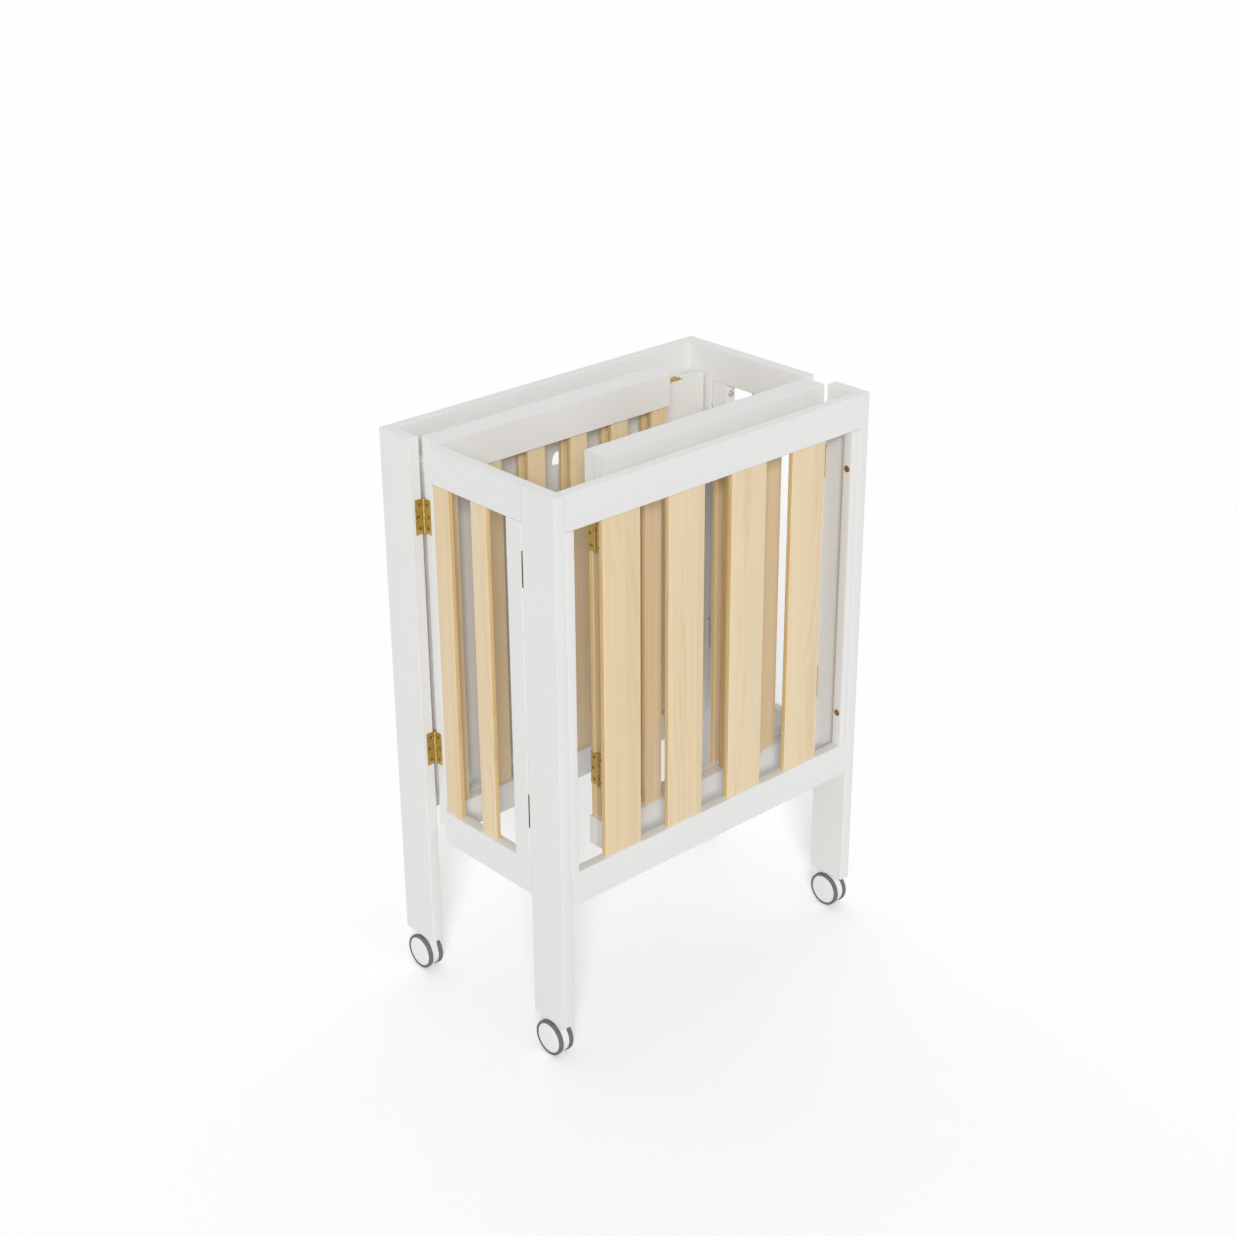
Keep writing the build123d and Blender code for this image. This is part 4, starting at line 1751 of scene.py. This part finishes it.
@dataclass
class StemWork:
    """The casters' stems and collars of one end."""

    fitter: Fitter
    node: str
    stem_radius: float = 4 * MM
    collar_thickness: float = 1 * MM
    chamfer: float = 0.25 * MM
    leg_foot: float = 61 * MM
    facets: int = 32

    def build(self) -> None:
        """Turns a stem with its collar for each caster of the end."""
        low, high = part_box(self.node)
        boxes = self.fitter.solids(self.node)
        collar_radius = max(box[1].x - box[0].x for box in boxes) / 2
        outline = self._outline(low.z, high.z, collar_radius)
        stem = turned(outline, self.facets, "stem", smooth_angle=30.0)
        parts = []
        for stem_low, stem_high in boxes:
            if stem_high.z - stem_low.z > 2 * collar_radius:
                middle = (stem_low + stem_high) / 2
                parts.append(placed(stem, at((middle.x, middle.y, 0))))
        self.fitter.fit(joined(parts, self.node), self.node)

    def _outline(self, bottom: float, top: float, collar_radius: float) -> list[Point]:
        """The outline of a stem and its collar, from the bottom up.

        Args:
            bottom: The stem's lowest height.
            top: Its highest.
            collar_radius: The collar's radius.

        Returns:
            The outline.
        """
        radius, edge = self.stem_radius, self.chamfer
        under = self.leg_foot - self.collar_thickness
        return [
            (0.0, bottom),
            (radius - edge, bottom),
            (radius, bottom + edge),
            (radius, under),
            (collar_radius - edge, under),
            (collar_radius, under + edge),
            (collar_radius, self.leg_foot - edge),
            (collar_radius - edge, self.leg_foot),
            (radius, self.leg_foot),
            (radius, top - edge),
            (radius - edge, top),
            (0.0, top),
        ]


# --- Studio ---

@dataclass
class Studio:
    """A pale floor, soft light from all round and the camera.

    Angles are in degrees, and the lens and the sensor are in millimetres.
    """

    camera_place: tuple[float, float, float] = (-2.0555, -2.2296, 1.9986)
    yaw: float = 47.691
    pitch: float = 25.046
    roll: float = -0.433
    lens: float = 62.25
    sensor_width: float = 36.0
    clip_end: float = 200.0
    floor_half: float = 30.0
    floor_tone: float = 0.7
    floor_seen_tone: float = 0.96
    floor_mottling: float = 0.01
    floor_roughness: float = 0.9
    floor_lift: float = 0.17
    zenith: float = 0.36
    horizon: float = 0.63
    far_glow: float = 0.75
    sun_energy: float = 1.88
    sun_elevation: float = 25.0
    sun_width: float = 14.0

    def build(self) -> None:
        """Makes the floor, the sky, the lamp and the camera."""
        self._floor()
        self._sky()
        self._lamp()
        self._camera()

    def _ahead(self, drop: float) -> Vector:
        """The direction away from the camera that drops by some degrees."""
        yaw, fall = math.radians(self.yaw), math.radians(drop)
        return Vector((math.cos(yaw) * math.cos(fall), math.sin(yaw) * math.cos(fall), -math.sin(fall)))

    def _seen(self, tree: NodeTree) -> Wire:
        """Tells what is looked at from what lights the object.

        Args:
            tree: The floor's or the sky's tree.

        Returns:
            1 where the camera, a reflection or glass looks, 0 for the light on the object.
        """
        path = add_node(tree, "ShaderNodeLightPath").outputs
        rays = ("Camera", "Glossy", "Transmission")
        camera, glossy, clear = (Wire(tree, path[f"Is {ray} Ray"]) for ray in rays)
        return (camera + glossy + clear).clamped()

    def _floor(self) -> None:
        """A wide floor with the least unevenness of paper, lifted towards white where it is seen."""
        bm = bmesh.new()
        bmesh.ops.create_grid(bm, x_segments=4, y_segments=4, size=self.floor_half)
        mesh = bpy.data.meshes.new("floor")
        bm.to_mesh(mesh)
        bm.free()
        material = bpy.data.materials.new("studio_floor")
        tree = ShaderTree(material)
        paper = tree.noise((2, 2, 2), detail=2.0)
        seen = self._seen(tree.tree)
        papers = []
        for tone in (self.floor_tone, self.floor_seen_tone):
            shade = tone - self.floor_mottling
            papers.append(tree.blend(paper, (tone, tone, tone, 1.0), (shade, shade, shade, 1.0)))
        tree.surface(
            Base_Color=tree.blend(seen, *papers),
            Roughness=self.floor_roughness,
            Specular_IOR_Level=0.0,
            Emission_Color=tree.blend(seen, BLACK, WHITE),
            Emission_Strength=self.floor_lift,
        )
        mesh.materials.append(material)
        in_scene("floor", mesh)

    def _sky(self) -> None:
        """A soft sky with a wide glow behind the playpen, white where it is seen."""
        world = bpy.data.worlds.new("studio")
        bpy.context.scene.world = world
        world.use_nodes = True
        tree = world.node_tree
        tree.nodes.clear()
        direction = add_node(tree, "ShaderNodeTexCoord").outputs["Generated"]
        parts = add_node(tree, "ShaderNodeSeparateXYZ", None, {"Vector": direction})
        height = Wire(tree, parts.outputs["Z"]).clamped()
        away = {0: direction, 1: self._ahead(0.0)}
        facing = add_node(tree, "ShaderNodeVectorMath", {"operation": "DOT_PRODUCT"}, away).outputs["Value"]
        glow = Wire(tree, facing).clamped() * self.far_glow
        strength = height * (self.zenith - self.horizon) + self.horizon + glow
        lit = add_node(tree, "ShaderNodeBackground", None, {"Color": WHITE, "Strength": strength})
        seen = add_node(tree, "ShaderNodeBackground", None, {"Color": WHITE, "Strength": 1.0})
        mix = {0: self._seen(tree), 1: lit.outputs[0], 2: seen.outputs[0]}
        mixed = add_node(tree, "ShaderNodeMixShader", None, mix)
        add_node(tree, "ShaderNodeOutputWorld", None, {"Surface": mixed.outputs[0]})

    def _lamp(self) -> None:
        """One very soft sun from the camera's side."""
        data = bpy.data.lights.new("softbox", "SUN")
        data.energy = self.sun_energy
        data.angle = math.radians(self.sun_width)
        lamp = in_scene("softbox", data)
        lamp.rotation_euler = self._ahead(self.sun_elevation).to_track_quat("-Z", "Y").to_euler()

    def _camera(self) -> None:
        """The camera, from its place and its three angles."""
        yaw, roll = math.radians(self.yaw), math.radians(self.roll)
        ahead = self._ahead(self.pitch)
        level = Vector((math.sin(yaw), -math.cos(yaw), 0.0))
        upright = level.cross(ahead)
        right = level * math.cos(roll) + upright * math.sin(roll)
        up = upright * math.cos(roll) - level * math.sin(roll)
        data = bpy.data.cameras.new("camera")
        data.lens = self.lens
        data.sensor_width = self.sensor_width
        data.clip_end = self.clip_end
        camera = in_scene("camera", data)
        rotation = Matrix((right, up, -ahead)).transposed()
        camera.matrix_world = Matrix.Translation(self.camera_place) @ rotation.to_4x4()
        bpy.context.scene.camera = camera


# --- Assembly ---


def main() -> None:
    """Loads the frame, dresses every part of the playpen and sets up the studio."""
    logging.basicConfig(level=logging.INFO, format="%(name)s: %(message)s")
    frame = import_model()
    bpy.context.scene.view_settings.view_transform = "Standard"
    fitter = Fitter(frame)

    slats = slat_row()
    end_nodes = ("front_slats", "rear_slats")
    for number, node in enumerate(end_nodes):
        EndSlats(fitter, slats, node, seed=TONE_SEED + number).build()
    Woodwork(fitter).dress(skipped=end_nodes)

    HingeWork(fitter, repeat_row()).build()
    BoltWork(fitter).build()
    for end in ("front", "rear"):
        StemWork(fitter, f"{end}_caster_stems").build()
        for side in ("left", "right"):
            Caster(fitter, f"{end}_{side}").build()

    Studio().build()


if __name__ == "__main__":
    main()
